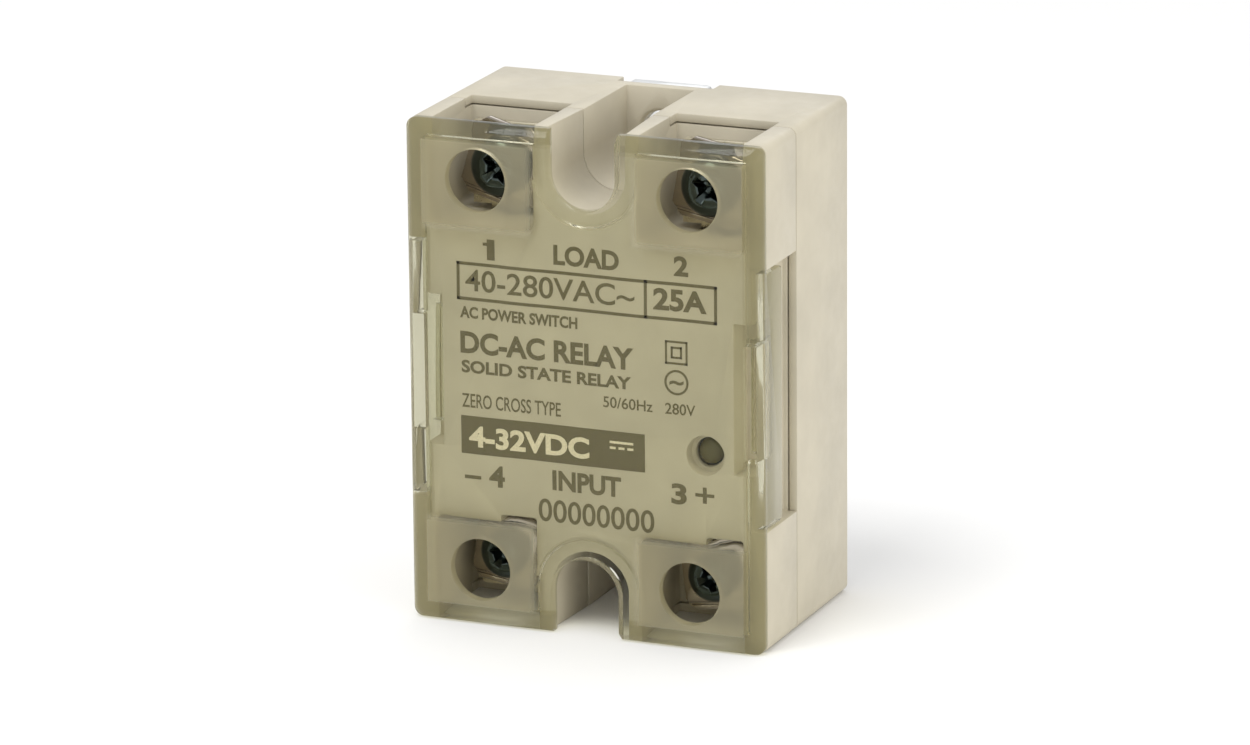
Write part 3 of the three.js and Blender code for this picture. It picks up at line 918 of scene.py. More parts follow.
@dataclass
class TerminalBlock:
    """The front shell: label face, four open pockets, side recesses and the lamp's recess."""

    outline: CaseOutline
    parting: float = -16.05
    spigot_back: float = -12.7
    rim: float = -25.0
    label_face: float = -25.4
    plateau_inset: float = 2.3
    flare: float = 0.55
    pocket_x: Span = (6.3, 18.5)
    pocket_end: float = 17.0
    pocket_floor: float = -14.2
    pedestal: float = -17.0
    pit_radius: float = 2.5
    pit_end: float = -9.9
    pit_wall: float = 1.1
    screw_x: float = 12.65
    screw_z: float = 22.5
    recess_x: float = 19.55
    recess_z: float = 15.0
    clip_x: float = 17.5
    clip_z: float = 8.7
    clip_back: float = -21.5
    lamp: tuple[float, float] = (14.1, -6.7)
    lamp_recess: float = 2.25
    lamp_floor: float = -23.9
    lamp_bore: float = 1.7
    cavity: tuple[float, float, float] = (16.4, -24.1, 15.4)

    def build(self, finish: bpy.types.Material) -> bpy.types.Object:
        """Moulds and finishes the shell.

        Args:
            finish: The case plastic.

        Returns:
            The shell.
        """
        shell = self.outline.slab("front_shell", 0.0, self.parting, self.rim)
        for end in (1, -1):
            Bench.cut(shell, self.outline.notch_tool(end, 0.0, self.parting + 1, self.rim - 3, self.flare * 1.35))
        plateau = self.outline.notched("plateau", self.plateau_inset, self.rim + 0.5, self.label_face)
        spigot = self.outline.notched("spigot", 1.15, self.spigot_back, self.parting - 0.5)
        Bench.weld(shell, plateau, spigot)
        x, front, z = self.cavity
        Bench.cut(shell, Bench.block("cavity", (-x, x), (front, 0.0), (-z, z)))
        for end in (1, -1):
            for side in (-1, 1):
                self._pocket(shell, side, end)
        for side in (-1, 1):
            self._side(shell, side)
        self._lamp_seat(shell)
        self._posts(shell)
        Bench.dress(Bench.ease(shell, 0.14, seams=(self.lamp[0],)), finish)
        return shell

    def _pocket(self, shell: bpy.types.Object, side: int, end: int) -> None:
        """Cuts a terminal pocket, with a bored pedestal in it and a slot for the terminal's leg.

        Args:
            shell: The shell.
            side: -1 for left, 1 for right.
            end: 1 for the top, -1 for the bottom.
        """
        x = ordered(side * self.pocket_x[0], side * self.pocket_x[1])
        centre = (side * self.screw_x, end * self.screw_z)
        tool = Bench.block("pocket", x, (-30.0, self.pocket_floor), ordered(end * self.pocket_end, end * 40))
        corner = end * self.pocket_end
        tool = Bench.round_edges(
            tool, lambda a, b: abs(a.y - b.y) > 1 and abs(a.z - corner) < 0.01, 0.9, 5
        )
        Bench.cut(shell, tool)
        radius = self.pit_radius + self.pit_wall
        Bench.weld(shell, Bench.rod("pedestal", centre, radius, self.pit_end + self.pit_wall, self.pedestal))
        Bench.cut(shell, Bench.rod("pit_bore", centre, self.pit_radius, self.pit_end, -20.0))
        legs = (centre[0] - 2.2, centre[0] + 2.2)
        Bench.cut(shell, Bench.block("leg_slot", legs, (-18.0, 0.0), ordered(end * 16.8, end * 18.1)))
        if end < 0:
            start = -18.5 if side < 0 else 6.3
            channel = Bench.block("tab_channel", (start + 7.9, start + 12.2), (-30.0, self.pocket_floor), (-18.0, -16.2))
            round_top = Bench.round_edges(
                channel, lambda a, b: abs(a.y - b.y) > 1 and a.z > -17, 0.35, 4
            )
            Bench.cut(shell, round_top)

    def _side(self, shell: bpy.types.Object, side: int) -> None:
        """Cuts the recess for a wing of the cover, and the clip notch in it.

        Args:
            shell: The shell.
            side: -1 for left, 1 for right.
        """
        x = ordered(side * self.recess_x, side * 40)
        z = (-self.recess_z, self.recess_z)
        Bench.cut(shell, Bench.block("recess", x, (-30.0, self.parting + 0.05), z))
        clip = Bench.block(
            "clip", ordered(side * self.clip_x, side * 40), (-30.0, self.clip_back), (-self.clip_z, self.clip_z)
        )
        Bench.cut(shell, clip)

    def _lamp_seat(self, shell: bpy.types.Object) -> None:
        """Adds the lamp's boss behind the label face and cuts its stepped hole."""
        boss = Bench.rod("boss", self.lamp, self.lamp_bore + 1.0, self.lamp_floor + 1.4, self.cavity[1] - 0.2)
        Bench.weld(shell, boss)
        steps = [
            (self.lamp_bore, 0.0),
            (self.lamp_bore, self.lamp_floor),
            (self.lamp_recess - 0.05, self.lamp_floor),
            (self.lamp_recess + 0.05, self.label_face - 1),
        ]
        Bench.cut(shell, Bench.turned("lamp_hole", steps, self.lamp, 64))

    def _posts(self, shell: bpy.types.Object) -> None:
        """Adds the four posts that stand on the corners of the control board."""
        for side in (-1, 1):
            for end in (-1, 1):
                x = ordered(side * 16.7, side * 17.9)
                z = ordered(end * 12.6, end * 14.6)
                Bench.weld(shell, Bench.block("post", x, (-13.2, -12.45), z))


@dataclass
class TerminalCover:
    """The clear cover: a tray with a chamfered front, four driver holes and two clip wings."""

    outline: CaseOutline
    skirt: float = -25.1
    inside: float = -25.8
    front: float = -27.0
    rim: float = 2.0
    chamfer: float = 0.9
    hole: float = 3.6
    hole_at: tuple[float, float] = (12.65, 22.5)
    wing_x: float = 19.85
    wing_z: float = 14.6
    wing_end: float = -20.5
    slot_x: Span = (19.1, 20.6)
    slot_z: float = 6.65
    slot_floor: float = -23.5
    hook_x: float = 18.6
    hook_y: Span = (-23.2, -21.8)

    def build(self, finish: bpy.types.Material) -> bpy.types.Object:
        """Moulds and finishes the cover.

        Args:
            finish: The clear plastic.

        Returns:
            The cover.
        """
        front = self.front
        half, tall = self.outline.half_x, self.outline.half_z
        tray = Bench.block("clear_cover", (-half, half), (front, self.skirt), (-tall, tall))
        Bench.round_edges(tray, lambda a, b: max(a.y, b.y) < front + 0.01, self.chamfer, 1)
        Bench.round_edges(tray, lambda a, b: abs(a.y - b.y) > 0.1, self.outline.corner)
        for end in (1, -1):
            Bench.cut(tray, self.outline.notch_tool(end, 0.0, self.skirt + 1, front - 1))
        Bench.cut(tray, self.outline.notched("tray_hollow", self.rim, 0.0, self.inside))
        for side in (-1, 1):
            x = ordered(side * self.wing_x, side * half)
            wing = Bench.block("wing", x, (self.inside, self.wing_end), (-self.wing_z, self.wing_z))
            end = self.wing_end
            wing = Bench.round_edges(
                wing, lambda a, b: abs(a.x - b.x) > 0.5 and a.y > end - 0.01 and b.y > end - 0.01, 0.6, 5
            )
            Bench.weld(tray, wing)
        for side in (-1, 1):
            slot = ordered(side * self.slot_x[0], side * self.slot_x[1])
            span = (-self.slot_z, self.slot_z)
            Bench.cut(tray, Bench.block("slot", slot, (-30.0, self.slot_floor), span))
            hook = ordered(side * self.hook_x, side * (self.wing_x + 0.1))
            Bench.weld(tray, Bench.block("hook", hook, self.hook_y, span))
            for end in (-1, 1):
                place = (side * self.hole_at[0], end * self.hole_at[1])
                Bench.cut(tray, Bench.rod("driver_hole", place, self.hole, 0.0, -30.0, 72))
        Bench.dress(Bench.ease(tray, 0.1, seams=(-self.hole_at[0], self.hole_at[0])), finish)
        return tray


class Weight(Enum):
    """How bold a line of print is: the thickening of each stroke, as a share of its height."""

    LIGHT = 0.0
    PLAIN = 0.01
    BOLD = 0.034


@dataclass(frozen=True)
class Line:
    """One line of print: its words, where it starts, how tall and wide it is, and its weight."""

    words: str
    left: float
    base: float
    height: float
    width: float
    weight: Weight = Weight.PLAIN


@dataclass
class LabelPrint:
    """The printing on the label face: terminal numbers, ratings, function and symbols."""

    face: float = -25.4
    proud: float = 0.02
    lines: Sequence[Line] = (
        Line("1", -11.9, 13.3, 2.3, 0.95, Weight.BOLD),
        Line("LOAD", -3.9, 13.55, 2.2, 7.9, Weight.BOLD),
        Line("2", 10.45, 13.6, 2.2, 1.75, Weight.BOLD),
        Line("40-280VAC~", -14.6, 9.5, 2.55, 20.4),
        Line("25A", 8.0, 9.6, 2.4, 6.4, Weight.BOLD),
        Line("AC POWER SWITCH", -15.3, 6.35, 1.3, 14.2, Weight.BOLD),
        Line("DC-AC RELAY", -15.3, 2.35, 2.45, 20.9, Weight.BOLD),
        Line("SOLID STATE RELAY", -15.2, 0.05, 1.4, 20.5, Weight.BOLD),
        Line("ZERO CROSS TYPE", -15.2, -4.0, 1.65, 12.0),
        Line("50/60Hz   280V", 1.95, -2.3, 1.3, 11.0),
        Line("-", -15.0, -12.9, 2.6, 2.0),
        Line("4", -12.0, -12.9, 2.4, 1.95, Weight.BOLD),
        Line("INPUT", -4.3, -12.5, 2.25, 8.3, Weight.BOLD),
        Line("3", 10.0, -12.5, 2.3, 1.85, Weight.BOLD),
        Line("+", 12.9, -12.6, 2.7, 2.3),
        Line("00000000", -6.0, -16.3, 2.7, 13.9),
    )
    light_lines: Sequence[Line] = (Line("4-32VDC", -14.4, -8.45, 2.35, 14.6, Weight.BOLD),)
    rating_box: tuple[float, float, float, float] = (-15.65, 15.65, 8.35, 12.75)
    divider: float = 6.9
    rule: float = 0.36
    panel: tuple[float, float, float, float] = (-15.35, 6.85, -9.4, -5.0)

    def build(self, ink: bpy.types.Material, bare: bpy.types.Material) -> list[bpy.types.Object]:
        """Prints the label.

        Args:
            ink: The dark ink.
            bare: The finish of the light words in the dark panel.

        Returns:
            The dark print and the light print.
        """
        dark = [self._words(line, 0.0) for line in self.lines]
        dark += self._frame() + self._marks()
        dark.append(self._panel())
        dark.append(self._bar(-12.4, -11.85, 14.8, 15.15))
        print_piece = Bench.dress(Bench.join("label_print", *dark), ink)
        light = [self._words(line, self.proud) for line in self.light_lines]
        left, bottom = 2.7, -7.05
        bars = [(left, left + 2.8, bottom + 0.65, bottom + 0.92)]
        bars += [(left + k * 1.05, left + k * 1.05 + 0.7, bottom, bottom + 0.27) for k in range(3)]
        light += [self._bar(*bar, self.proud) for bar in bars]
        return [print_piece, Bench.dress(Bench.join("panel_print", *light), bare)]

    def _words(self, line: Line, lift: float) -> bpy.types.Object:
        """Sets one line of print as a thin mesh.

        Args:
            line: The line.
            lift: How far it stands in front of the label face.

        Returns:
            The words.
        """
        Bench.clear()
        bpy.ops.object.text_add()
        words = bpy.context.object
        words.data.body = line.words
        words.data.size = 1.0
        words.data.offset = line.weight.value
        words.data.extrude = 0.5
        words.data.resolution_u = 4
        bpy.ops.object.convert(target="MESH")
        words = bpy.context.object
        points = [v.co for v in words.data.vertices]
        low = Vector([min(p[i] for p in points) for i in range(3)])
        high = Vector([max(p[i] for p in points) for i in range(3)])
        cap = 0.729 if line.words not in "-+" else 0.72
        wide = line.width / (high.x - low.x)
        tall = line.height / cap
        front = self.face - lift - self.proud
        shift = Matrix.Translation((line.left, front + self.proud / 2, line.base))
        size = Matrix.Diagonal((wide, self.proud, tall, 1.0))
        flat = Matrix.Rotation(math.pi / 2, 4, "X")
        start = Matrix.Translation((-low.x, 0.0, 0.0))
        words.data.transform(Matrix.Scale(MM, 4) @ shift @ size @ flat @ start)
        return words

    def _bar(self, left: float, right: float, low: float, high: float, lift: float = 0.0) -> bpy.types.Object:
        """A printed bar.

        Args:
            left: Its low X.
            right: Its high X.
            low: Its low Z.
            high: Its high Z.
            lift: How far it stands in front of the label face.

        Returns:
            The bar.
        """
        back = self.face - lift
        return Bench.block("bar", (left, right), (back - self.proud, back), (low, high))

    def _frame(self) -> list[bpy.types.Object]:
        """The outlined box round the load rating, with its divider."""
        left, right, low, high = self.rating_box
        rule = self.rule
        return [
            self._bar(left, right, high - rule, high),
            self._bar(left, right, low, low + rule),
            self._bar(left, left + rule, low, high),
            self._bar(right - rule, right, low, high),
            self._bar(self.divider, self.divider + rule, low, high),
        ]

    def _panel(self) -> bpy.types.Object:
        """The filled panel behind the input rating."""
        left, right, low, high = self.panel
        return self._bar(left, right, low, high)

    def _ring(self, centre: Span, radius: float, thick: float) -> bpy.types.Object:
        """A printed ring.

        Args:
            centre: X and Z of its centre.
            radius: Its outer radius.
            thick: The width of its line.

        Returns:
            The ring.
        """
        ring = Bench.rod("ring", centre, radius, self.face, self.face - self.proud, 40)
        tool = Bench.rod("ring_tool", centre, radius - thick, self.face + 1, self.face - 1, 40)
        return Bench.cut(ring, tool)

    def _marks(self) -> list[bpy.types.Object]:
        """Two plain symbols: double insulation (a square in a square), and alternating current."""
        x, z = 10.7, 4.75
        outer, inner, rule = 1.35, 0.68, 0.24
        marks = []
        for half in (outer, inner):
            marks += [
                self._bar(x - half, x + half, z + half - rule, z + half),
                self._bar(x - half, x + half, z - half, z - half + rule),
                self._bar(x - half, x - half + rule, z - half, z + half),
                self._bar(x + half - rule, x + half, z - half, z + half),
            ]
        marks.append(self._ring((x, 1.35), 1.45, 0.26))
        marks.append(self._words(Line("~", x - 0.85, 0.72, 1.6, 1.7, Weight.BOLD), 0.0))
        return marks


@dataclass
class BasePlate:
    """The aluminium plate at the back, with a tongue and a screw hole at each end."""

    plate: Span = (19.4, 26.6)
    tongue: Span = (4.9, 28.8)
    thickness: float = 2.0
    hole: float = 2.25
    hole_z: float = 23.8

    def build(self, finish: bpy.types.Material) -> bpy.types.Object:
        """Stamps and finishes the plate.

        Args:
            finish: The aluminium.

        Returns:
            The plate.
        """
        piece = self._rounded("metal_base", self.plate, 1.0)
        Bench.weld(piece, self._rounded("tongue", self.tongue, 0.6))
        for end in (1, -1):
            steps = [(self.hole + 0.3, 0.3), (self.hole + 0.05, -0.25), (self.hole, -self.thickness - 1)]
            Bench.cut(piece, Bench.turned("hole", steps, (0.0, end * self.hole_z), 48))
        return Bench.dress(Bench.ease(piece, 0.12, seams=(0.0,)), finish)

    def _rounded(self, name: str, half: Span, corner: float) -> bpy.types.Object:
        """A flat bar with round corners.

        Args:
            name: Its name.
            half: Half its size in X and Z.
            corner: The radius of its corners.

        Returns:
            The bar.
        """
        bar = Bench.block(name, (-half[0], half[0]), (-self.thickness, 0.0), (-half[1], half[1]))
        return Bench.round_edges(bar, lambda a, b: abs(a.y - b.y) > 0.5, corner)


@dataclass
class ScrewSize:
    """The sizes of one terminal's screw and clamp washer."""

    head: float
    head_height: float
    shank: float
    length: float
    pitch: float
    washer: float
    corner: float


M4 = ScrewSize(head=3.5, head_height=2.55, shank=1.9, length=8.5, pitch=0.7, washer=9.2, corner=1.3)
M3_5 = ScrewSize(head=3.0, head_height=2.3, shank=1.65, length=7.5, pitch=0.6, washer=8.4, corner=1.2)


@dataclass
class ClampScrew:
    """A pan head screw with a cross recess, made with its origin under the head."""

    size: ScrewSize
    thickness: float = 0.8

    def pattern(self, finish: bpy.types.Material) -> bpy.types.Object:
        """Turns, threads and finishes the screw.

        Args:
            finish: The screw's plating.

        Returns:
            The screw, with its head towards -Y.
        """
        size = self.size
        tall, radius = size.head_height, size.head
        crown = [
            (radius * 0.97, 0.0), (radius, -0.06), (radius, -tall * 0.45), (radius * 0.975, -tall * 0.6),
            (radius * 0.91, -tall * 0.76), (radius * 0.8, -tall * 0.88), (radius * 0.62, -tall * 0.955),
            (radius * 0.4, -tall * 0.99), (radius * 0.2, -tall),
        ]
        head = Bench.turned("clamp_screw", crown, sides=64)
        self._recess(head)
        Bench.apply(
            Bench.tidy(head), "BEVEL", width=0.05 * MM, segments=2, limit_method="ANGLE",
            angle_limit=math.radians(40), use_clamp_overlap=False,
        )
        screw = Bench.join("clamp_screw", head, self._thread())
        return Bench.dress(Bench.smooth(screw, 32), finish)

    def _recess(self, head: bpy.types.Object) -> None:
        """Cuts the cross recess: four tapered wings and a tapered core."""
        tall = self.size.head_height
        reach, slot = 0.6 * self.size.head, 0.48
        top, floor = -tall - 0.3, -0.42 * tall
        for turn in (0.0, math.pi / 2):
            wing = Bench.block("wing", (-reach, reach), (top, floor), (-slot, slot))
            Bench.choose_faces(wing, lambda at, normal: normal.y > 0.9)
            pivot = Vector((0.0, floor, 0.0)) * MM
            bpy.ops.transform.resize(value=(0.42, 1.0, 0.55), center_override=pivot)
            bpy.ops.object.mode_set(mode="OBJECT")
            wing.data.transform(Matrix.Rotation(turn, 4, "Y"))
            Bench.cut(head, wing)
        core = [(slot * 2.3, top), (slot * 1.25, floor), (0.12, floor + 0.3)]
        Bench.cut(head, Bench.turned("core", core, sides=24))

    def _thread(self) -> bpy.types.Object:
        """The threaded shank, with one ring of thread for each turn."""
        size = self.size
        root = size.shank - 0.3
        rings = [(root, -0.25), (root, 0.7)]
        y = 0.7
        while y + size.pitch < size.length - 0.6:
            rings += [(size.shank, y + size.pitch * 0.4), (size.shank, y + size.pitch * 0.6), (root, y + size.pitch)]
            y += size.pitch
        rings += [(root, size.length - 0.4), (root * 0.6, size.length)]
        return Bench.turned("shank", rings, sides=40)


@dataclass
class ClampWasher:
    """A square clamp washer with cut corners and a pressed ridge along two sides."""

    size: ScrewSize
    thickness: float = 0.8

    def pattern(self, finish: bpy.types.Material) -> bpy.types.Object:
        """Stamps and finishes the washer.

        Args:
            finish: The washer's plating.

        Returns:
            The washer, with its back at the origin.
        """
        half = self.size.washer / 2
        piece = Bench.block("clamp_washer", (-half, half), (-self.thickness, 0.0), (-half, half))
        Bench.round_edges(piece, lambda a, b: abs(a.y - b.y) > 0.1, self.size.corner, 1)
        hole = self.size.shank + 0.25
        Bench.cut(piece, Bench.rod("hole", (0.0, 0.0), hole, 1.0, -2.0, 40))
        for step in (-1, 1):
            groove = Bench.block("groove", (-5.0, 5.0), (-2.0, -self.thickness + 0.14), (-0.16, 0.16))
            groove.data.transform(Matrix.Translation((0, 0, step * (half - 0.75) * MM)))
            Bench.cut(piece, groove)
        return Bench.dress(Bench.ease(piece, 0.1), finish)


@dataclass
class TerminalStrip:
    """A plated terminal: a tapped plate in the pocket with a leg that goes down inside."""

    size: ScrewSize
    half: float
    end: float
    leg_half: float
    front: float = -17.85
    back: float = -17.05

    def _plate(self, name: str, x: float, end: int) -> bpy.types.Object:
        """The plate, with its outer corners rounded; its hole is cut afterwards.

        Args:
            name: The name of the strip.
            x: X of the screw.
            end: 1 for the top, -1 for the bottom.

        Returns:
            The plate.
        """
        z = ordered(end * 17.6, end * self.end)
        plate = Bench.block(name, (x - self.half, x + self.half), (self.front, self.back), z)
        return Bench.round_edges(plate, lambda a, b: abs(a.y - b.y) > 0.5 and abs(a.z) > 20, 0.5, 4)

    def _bore(self, strip: bpy.types.Object, x: float, end: int) -> bpy.types.Object:
        """Cuts the screw hole, with a countersunk edge, and breaks the strip's edges.

        Args:
            strip: The strip.
            x: X of the screw.
            end: 1 for the top, -1 for the bottom.

        Returns:
            The strip.
        """
        hole = self.size.shank + 0.25
        steps = [(hole, 0.0), (hole, self.front + 0.2), (hole + 0.3, self.front - 0.1)]
        Bench.cut(strip, Bench.turned("bore", steps, (x, end * 22.5), 40))
        return Bench.ease(strip, 0.08)

    def load(self, name: str, side: int, finish: bpy.types.Material) -> bpy.types.Object:
        """A load terminal, whose foot rests on its copper pad.

        Args:
            name: The name of the strip.
            side: -1 for left, 1 for right.
            finish: The plating.

        Returns:
            The strip.
        """
        x = side * 12.65
        legs = (x - self.leg_half, x + self.leg_half)
        strip = self._plate(name, x, 1)
        leg = Bench.block("leg", legs, (self.front, -3.05), (17.15, 17.95))
        foot = Bench.block("foot", legs, (-3.8, -3.05), (9.0, 17.95))
        Bench.weld(strip, leg, foot)
        return Bench.dress(self._bore(strip, x, 1), finish)

    def input(self, name: str, side: int, finish: bpy.types.Material) -> bpy.types.Object:
        """An input terminal, with a leg to the board and an upright tab.

        Args:
            name: The name of the strip.
            side: -1 for left, 1 for right.
            finish: The plating.

        Returns:
            The strip.
        """
        x = side * 12.65
        start = (-18.5 if side < 0 else 6.3) + 8.3
        tab = (start, start + 3.4)
        strip = self._plate(name, x, -1)
        leg = Bench.block("leg", (x - self.leg_half, x + self.leg_half), (self.front, -10.8), (-17.95, -17.15))
        ear = Bench.block("ear", tab, (self.front, self.back), (-18.4, -16.4))
        upright = Bench.block("tab", tab, (-23.2, self.back), (-16.9, -16.4))
        Bench.weld(strip, leg, ear, upright)
        return Bench.dress(self._bore(strip, x, -1), finish)


@dataclass
class PowerStage:
    """The power stage on the base plate: ceramic, copper pads, triac chip and its clip."""

    ceramic: tuple[Span, Span, Span] = ((-16.5, 16.5), (-2.65, -2.05), (-9.5, 13.5))
    pad_y: Span = (-3.0, -2.7)
    pad_z: Span = (-8.0, 12.0)
    pads: tuple[Span, Span] = ((-15.5, -3.0), (-1.0, 15.5))
    chip_at: tuple[float, float] = (6.0, -1.0)
    chip_half: float = 3.5
    clip_half: float = 2.5

    def build(self, finishes: dict[str, bpy.types.Material]) -> dict[str, bpy.types.Object]:
        """Builds and finishes each piece.

        Args:
            finishes: The materials, by name.

        Returns:
            The pieces, by the name of the part that each one stands for.
        """
        x, y, z = self.ceramic
        tile = Bench.block("ceramic_tile", x, y, z)
        Bench.round_edges(tile, lambda a, b: abs(a.y - b.y) > 0.1, 0.8)
        pieces = {"ceramic_substrate": Bench.dress(Bench.ease(tile, 0.06), finishes["ceramic"])}
        for number, span in enumerate(self.pads, 1):
            pad = Bench.block(f"copper_pad_{number}", span, self.pad_y, self.pad_z)
            Bench.round_edges(pad, lambda a, b: abs(a.y - b.y) > 0.1, 1.0)
            pieces[f"pad_{number}"] = Bench.dress(Bench.ease(pad, 0.05), finishes["copper"])
        pieces["triac_chip"] = self._chip(finishes)
        pieces["triac_clip"] = self._clip(finishes["copper"])
        return pieces

    def _chip(self, finishes: dict[str, bpy.types.Material]) -> bpy.types.Object:
        """The silicon chip, with a passivated border inset round its front face."""
        x, z = self.chip_at
        half = self.chip_half
        chip = Bench.block("power_chip", (x - half, x + half), (-3.35, -3.05), (z - half, z + half))
        Bench.choose_faces(chip, lambda at, normal: normal.y < -0.9)
        bpy.ops.mesh.inset(thickness=0.5 * MM, depth=-0.03 * MM)
        bpy.ops.object.mode_set(mode="OBJECT")
        Bench.dress(Bench.ease(chip, 0.03), finishes["silicon"])
        return chip

    def _clip(self, finish: bpy.types.Material) -> bpy.types.Object:
        """The bent copper clip from the chip to the other pad.

        Args:
            finish: The copper.

        Returns:
            The clip.
        """
        x, z = self.chip_at
        half = self.clip_half
        wide = (z - half, z + half)
        clip = Bench.block("copper_clip", (-6.0, x + 2), (-4.6, -4.0), wide)
        chip_foot = Bench.block("foot", (x - 2, x + 2), (-4.6, -3.4), wide)
        pad_foot = Bench.block("foot", (-8.0, -5.4), (-4.6, -3.05), wide)
        Bench.weld(clip, chip_foot, pad_foot)
        for place in (-2.6, 0.6):
            Bench.cut(clip, Bench.rod("relief", (place, z), 0.7, 0.0, -6.0, 24))
        return Bench.dress(Bench.ease(clip, 0.12), finish)


@dataclass
class LeadedPart:
    """Makes the parts that stand on the control board on wire leads."""

    board: float = -12.45
    wire: float = 0.3

    def lead(self, x: float, z: float, front: float, radius: float, finish: bpy.types.Material) -> bpy.types.Object:
        """One upright lead with a rounded end and a solder fillet at the board.

        Args:
            x: Its X.
            z: Its Z.
            front: Y of its far end.
            radius: Its radius.
            finish: The tinned wire.

        Returns:
            The lead.
        """
        y = self.board
        profile = [(radius * 2.1, y), (radius * 1.5, y - 0.12), (radius, y - 0.4), (radius, front + radius * 0.4)]
        profile.append((radius * 0.55, front))
        return Bench.dress(Bench.smooth(Bench.turned("lead", profile, (x, z), 14)), finish)

    def axial(
        self, name: str, x: float, z: float, radius: float, length: float, span: float,
        body: bpy.types.Material, wire: bpy.types.Material,
    ) -> bpy.types.Object:
        """A part lying along X: a body with rounded shoulders on a bent wire.

        Args:
            name: Its name.
            x: X of its middle.
            z: Its Z.
            radius: Its radius.
            length: Length of its body.
            span: Distance between its two legs.
            body: The finish of its body.
            wire: The finish of its wire.

        Returns:
            The part.
        """
        y = self.board - radius - 0.4
        half = length / 2
        shape = [
            (radius * 0.45, -half), (radius * 0.82, -half * 0.97), (radius, -half * 0.86), (radius, -half * 0.6),
            (radius * 0.9, -half * 0.5), (radius * 0.9, half * 0.5), (radius, half * 0.6), (radius, half * 0.86),
            (radius * 0.82, half * 0.97), (radius * 0.45, half),
        ]
        barrel = Bench.turned(name, shape, sides=32)
        along = Matrix.Translation(Vector((x, y, z)) * MM) @ Matrix.Rotation(math.pi / 2, 4, "Z")
        barrel.data.transform(along)
        Bench.dress(Bench.smooth(barrel), body)
        strand = Bench.turned("wire", [(self.wire, -span / 2 - self.wire), (self.wire, span / 2 + self.wire)], sides=14)
        strand.data.transform(along)
        parts = [Bench.dress(Bench.smooth(strand), wire)]
        for side in (-1, 1):
            parts.append(self.lead(x + side * span / 2, z, y - self.wire * 0.9, self.wire, wire))
        return Bench.join(name, barrel, *parts)

    def capacitor(self, name: str, case: bpy.types.Material, wire: bpy.types.Material) -> bpy.types.Object:
        """The box film capacitor, with a potted base and two leads."""
        y = self.board
        shell = Bench.block(name, (-15.4, -2.4), (y - 9.5, y - 0.4), (6.4, 12.4))
        Bench.round_edges(shell, lambda a, b: a.y < y - 9 and b.y < y - 9, 0.7, 4)
        Bench.choose_faces(shell, lambda at, normal: normal.y > 0.9)
        bpy.ops.mesh.inset(thickness=0.5 * MM, depth=-0.25 * MM)
        bpy.ops.object.mode_set(mode="OBJECT")
        Bench.dress(Bench.ease(shell, 0.1), case)
        leads = [self.lead(x, 9.4, y - 0.9, 0.35, wire) for x in (-13.9, -3.9)]
        return Bench.join(name, shell, *leads)

    def varistor(self, name: str, coat: bpy.types.Material, wire: bpy.types.Material) -> bpy.types.Object:
        """The coated disc varistor, thicker at its middle, with coated necks on its leads."""
        x, y, z, radius = 6.8, self.board - 6, 10.6, 4.6
        disc = [
            (radius * 0.5, -1.8), (radius * 0.86, -1.62), (radius * 0.97, -1.1), (radius, 0.0),
            (radius * 0.97, 1.1), (radius * 0.86, 1.62), (radius * 0.5, 1.8),
        ]
        body = Bench.turned(name, disc, sides=48)
        body.data.transform(Matrix.Translation(Vector((x, y, z)) * MM) @ Matrix.Rotation(math.pi / 2, 4, "X"))
        Bench.dress(Bench.smooth(body, 60), coat)
        parts = []
        for side in (-1, 1):
            centre = (x + side * 2.5, z)
            neck = Bench.turned("neck", [(0.45, self.board - 1.0), (0.75, self.board - 2.8)], centre, 16)
            parts.append(Bench.dress(Bench.smooth(neck), coat))
            parts.append(self.lead(*centre, self.board - 1.4, 0.35, wire))
        return Bench.join(name, body, *parts)

    def transistor(self, name: str, body: bpy.types.Material, wire: bpy.types.Material) -> bpy.types.Object:
        """The half-round transistor on three leads."""
        x, z, y = 12.6, 2.6, self.board
        profile = [(2.15, y - 2.0), (2.3, y - 4.2), (2.15, y - 6.6)]
        shell = Bench.turned(name, profile, (x, z), 40)
        Bench.cut(shell, Bench.block("flat", (x - 4, x + 4), (-40.0, 0.0), (3.9, 8.0)))
        Bench.dress(Bench.ease(shell, 0.12), body)
        leads = [self.lead(x + step, 2.4, y - 2.4, 0.22, wire) for step in (-1.27, 0.0, 1.27)]
        return Bench.join(name, shell, *leads)

    def coupler(self, name: str, body: bpy.types.Material, wire: bpy.types.Material) -> bpy.types.Object:
        """The six-leg photocoupler, with drafted sides, a pin-one dimple and shaped legs."""
        x, z, y = 2.5, -1.0, self.board
        shell = Bench.block(name, (x - 3.2, x + 3.2), (y - 4.0, y - 0.6), (z - 4.3, z + 4.3))
        for sign, pull in ((-1, y - 4.0), (1, y - 0.6)):
            Bench.choose_faces(shell, lambda at, normal, sign=sign: normal.y * sign > 0.9)
            pivot = Vector((x, pull, z)) * MM
            bpy.ops.transform.resize(value=(0.93, 1.0, 0.95), center_override=pivot)
            bpy.ops.object.mode_set(mode="OBJECT")
        Bench.cut(shell, Bench.turned("dimple", [(0.55, y - 3.8), (0.62, y - 5)], (x - 2.1, z + 3.2), 24))
        Bench.dress(Bench.ease(shell, 0.1), body)
        legs = []
        for side in (-1, 1):
            for step in (-2.54, 0.0, 2.54):
                mid = z + step
                wide = Bench.block("leg", ordered(x + side * 3.0, x + side * 3.95), (y - 2.4, y - 2.1), (mid - 0.6, mid + 0.6))
                thin = Bench.block("leg", ordered(x + side * 3.65, x + side * 3.95), (y - 2.4, y), (mid - 0.3, mid + 0.3))
                legs.append(Bench.dress(Bench.ease(Bench.weld(wide, thin), 0.06), wire))
        return Bench.join(name, shell, *legs)

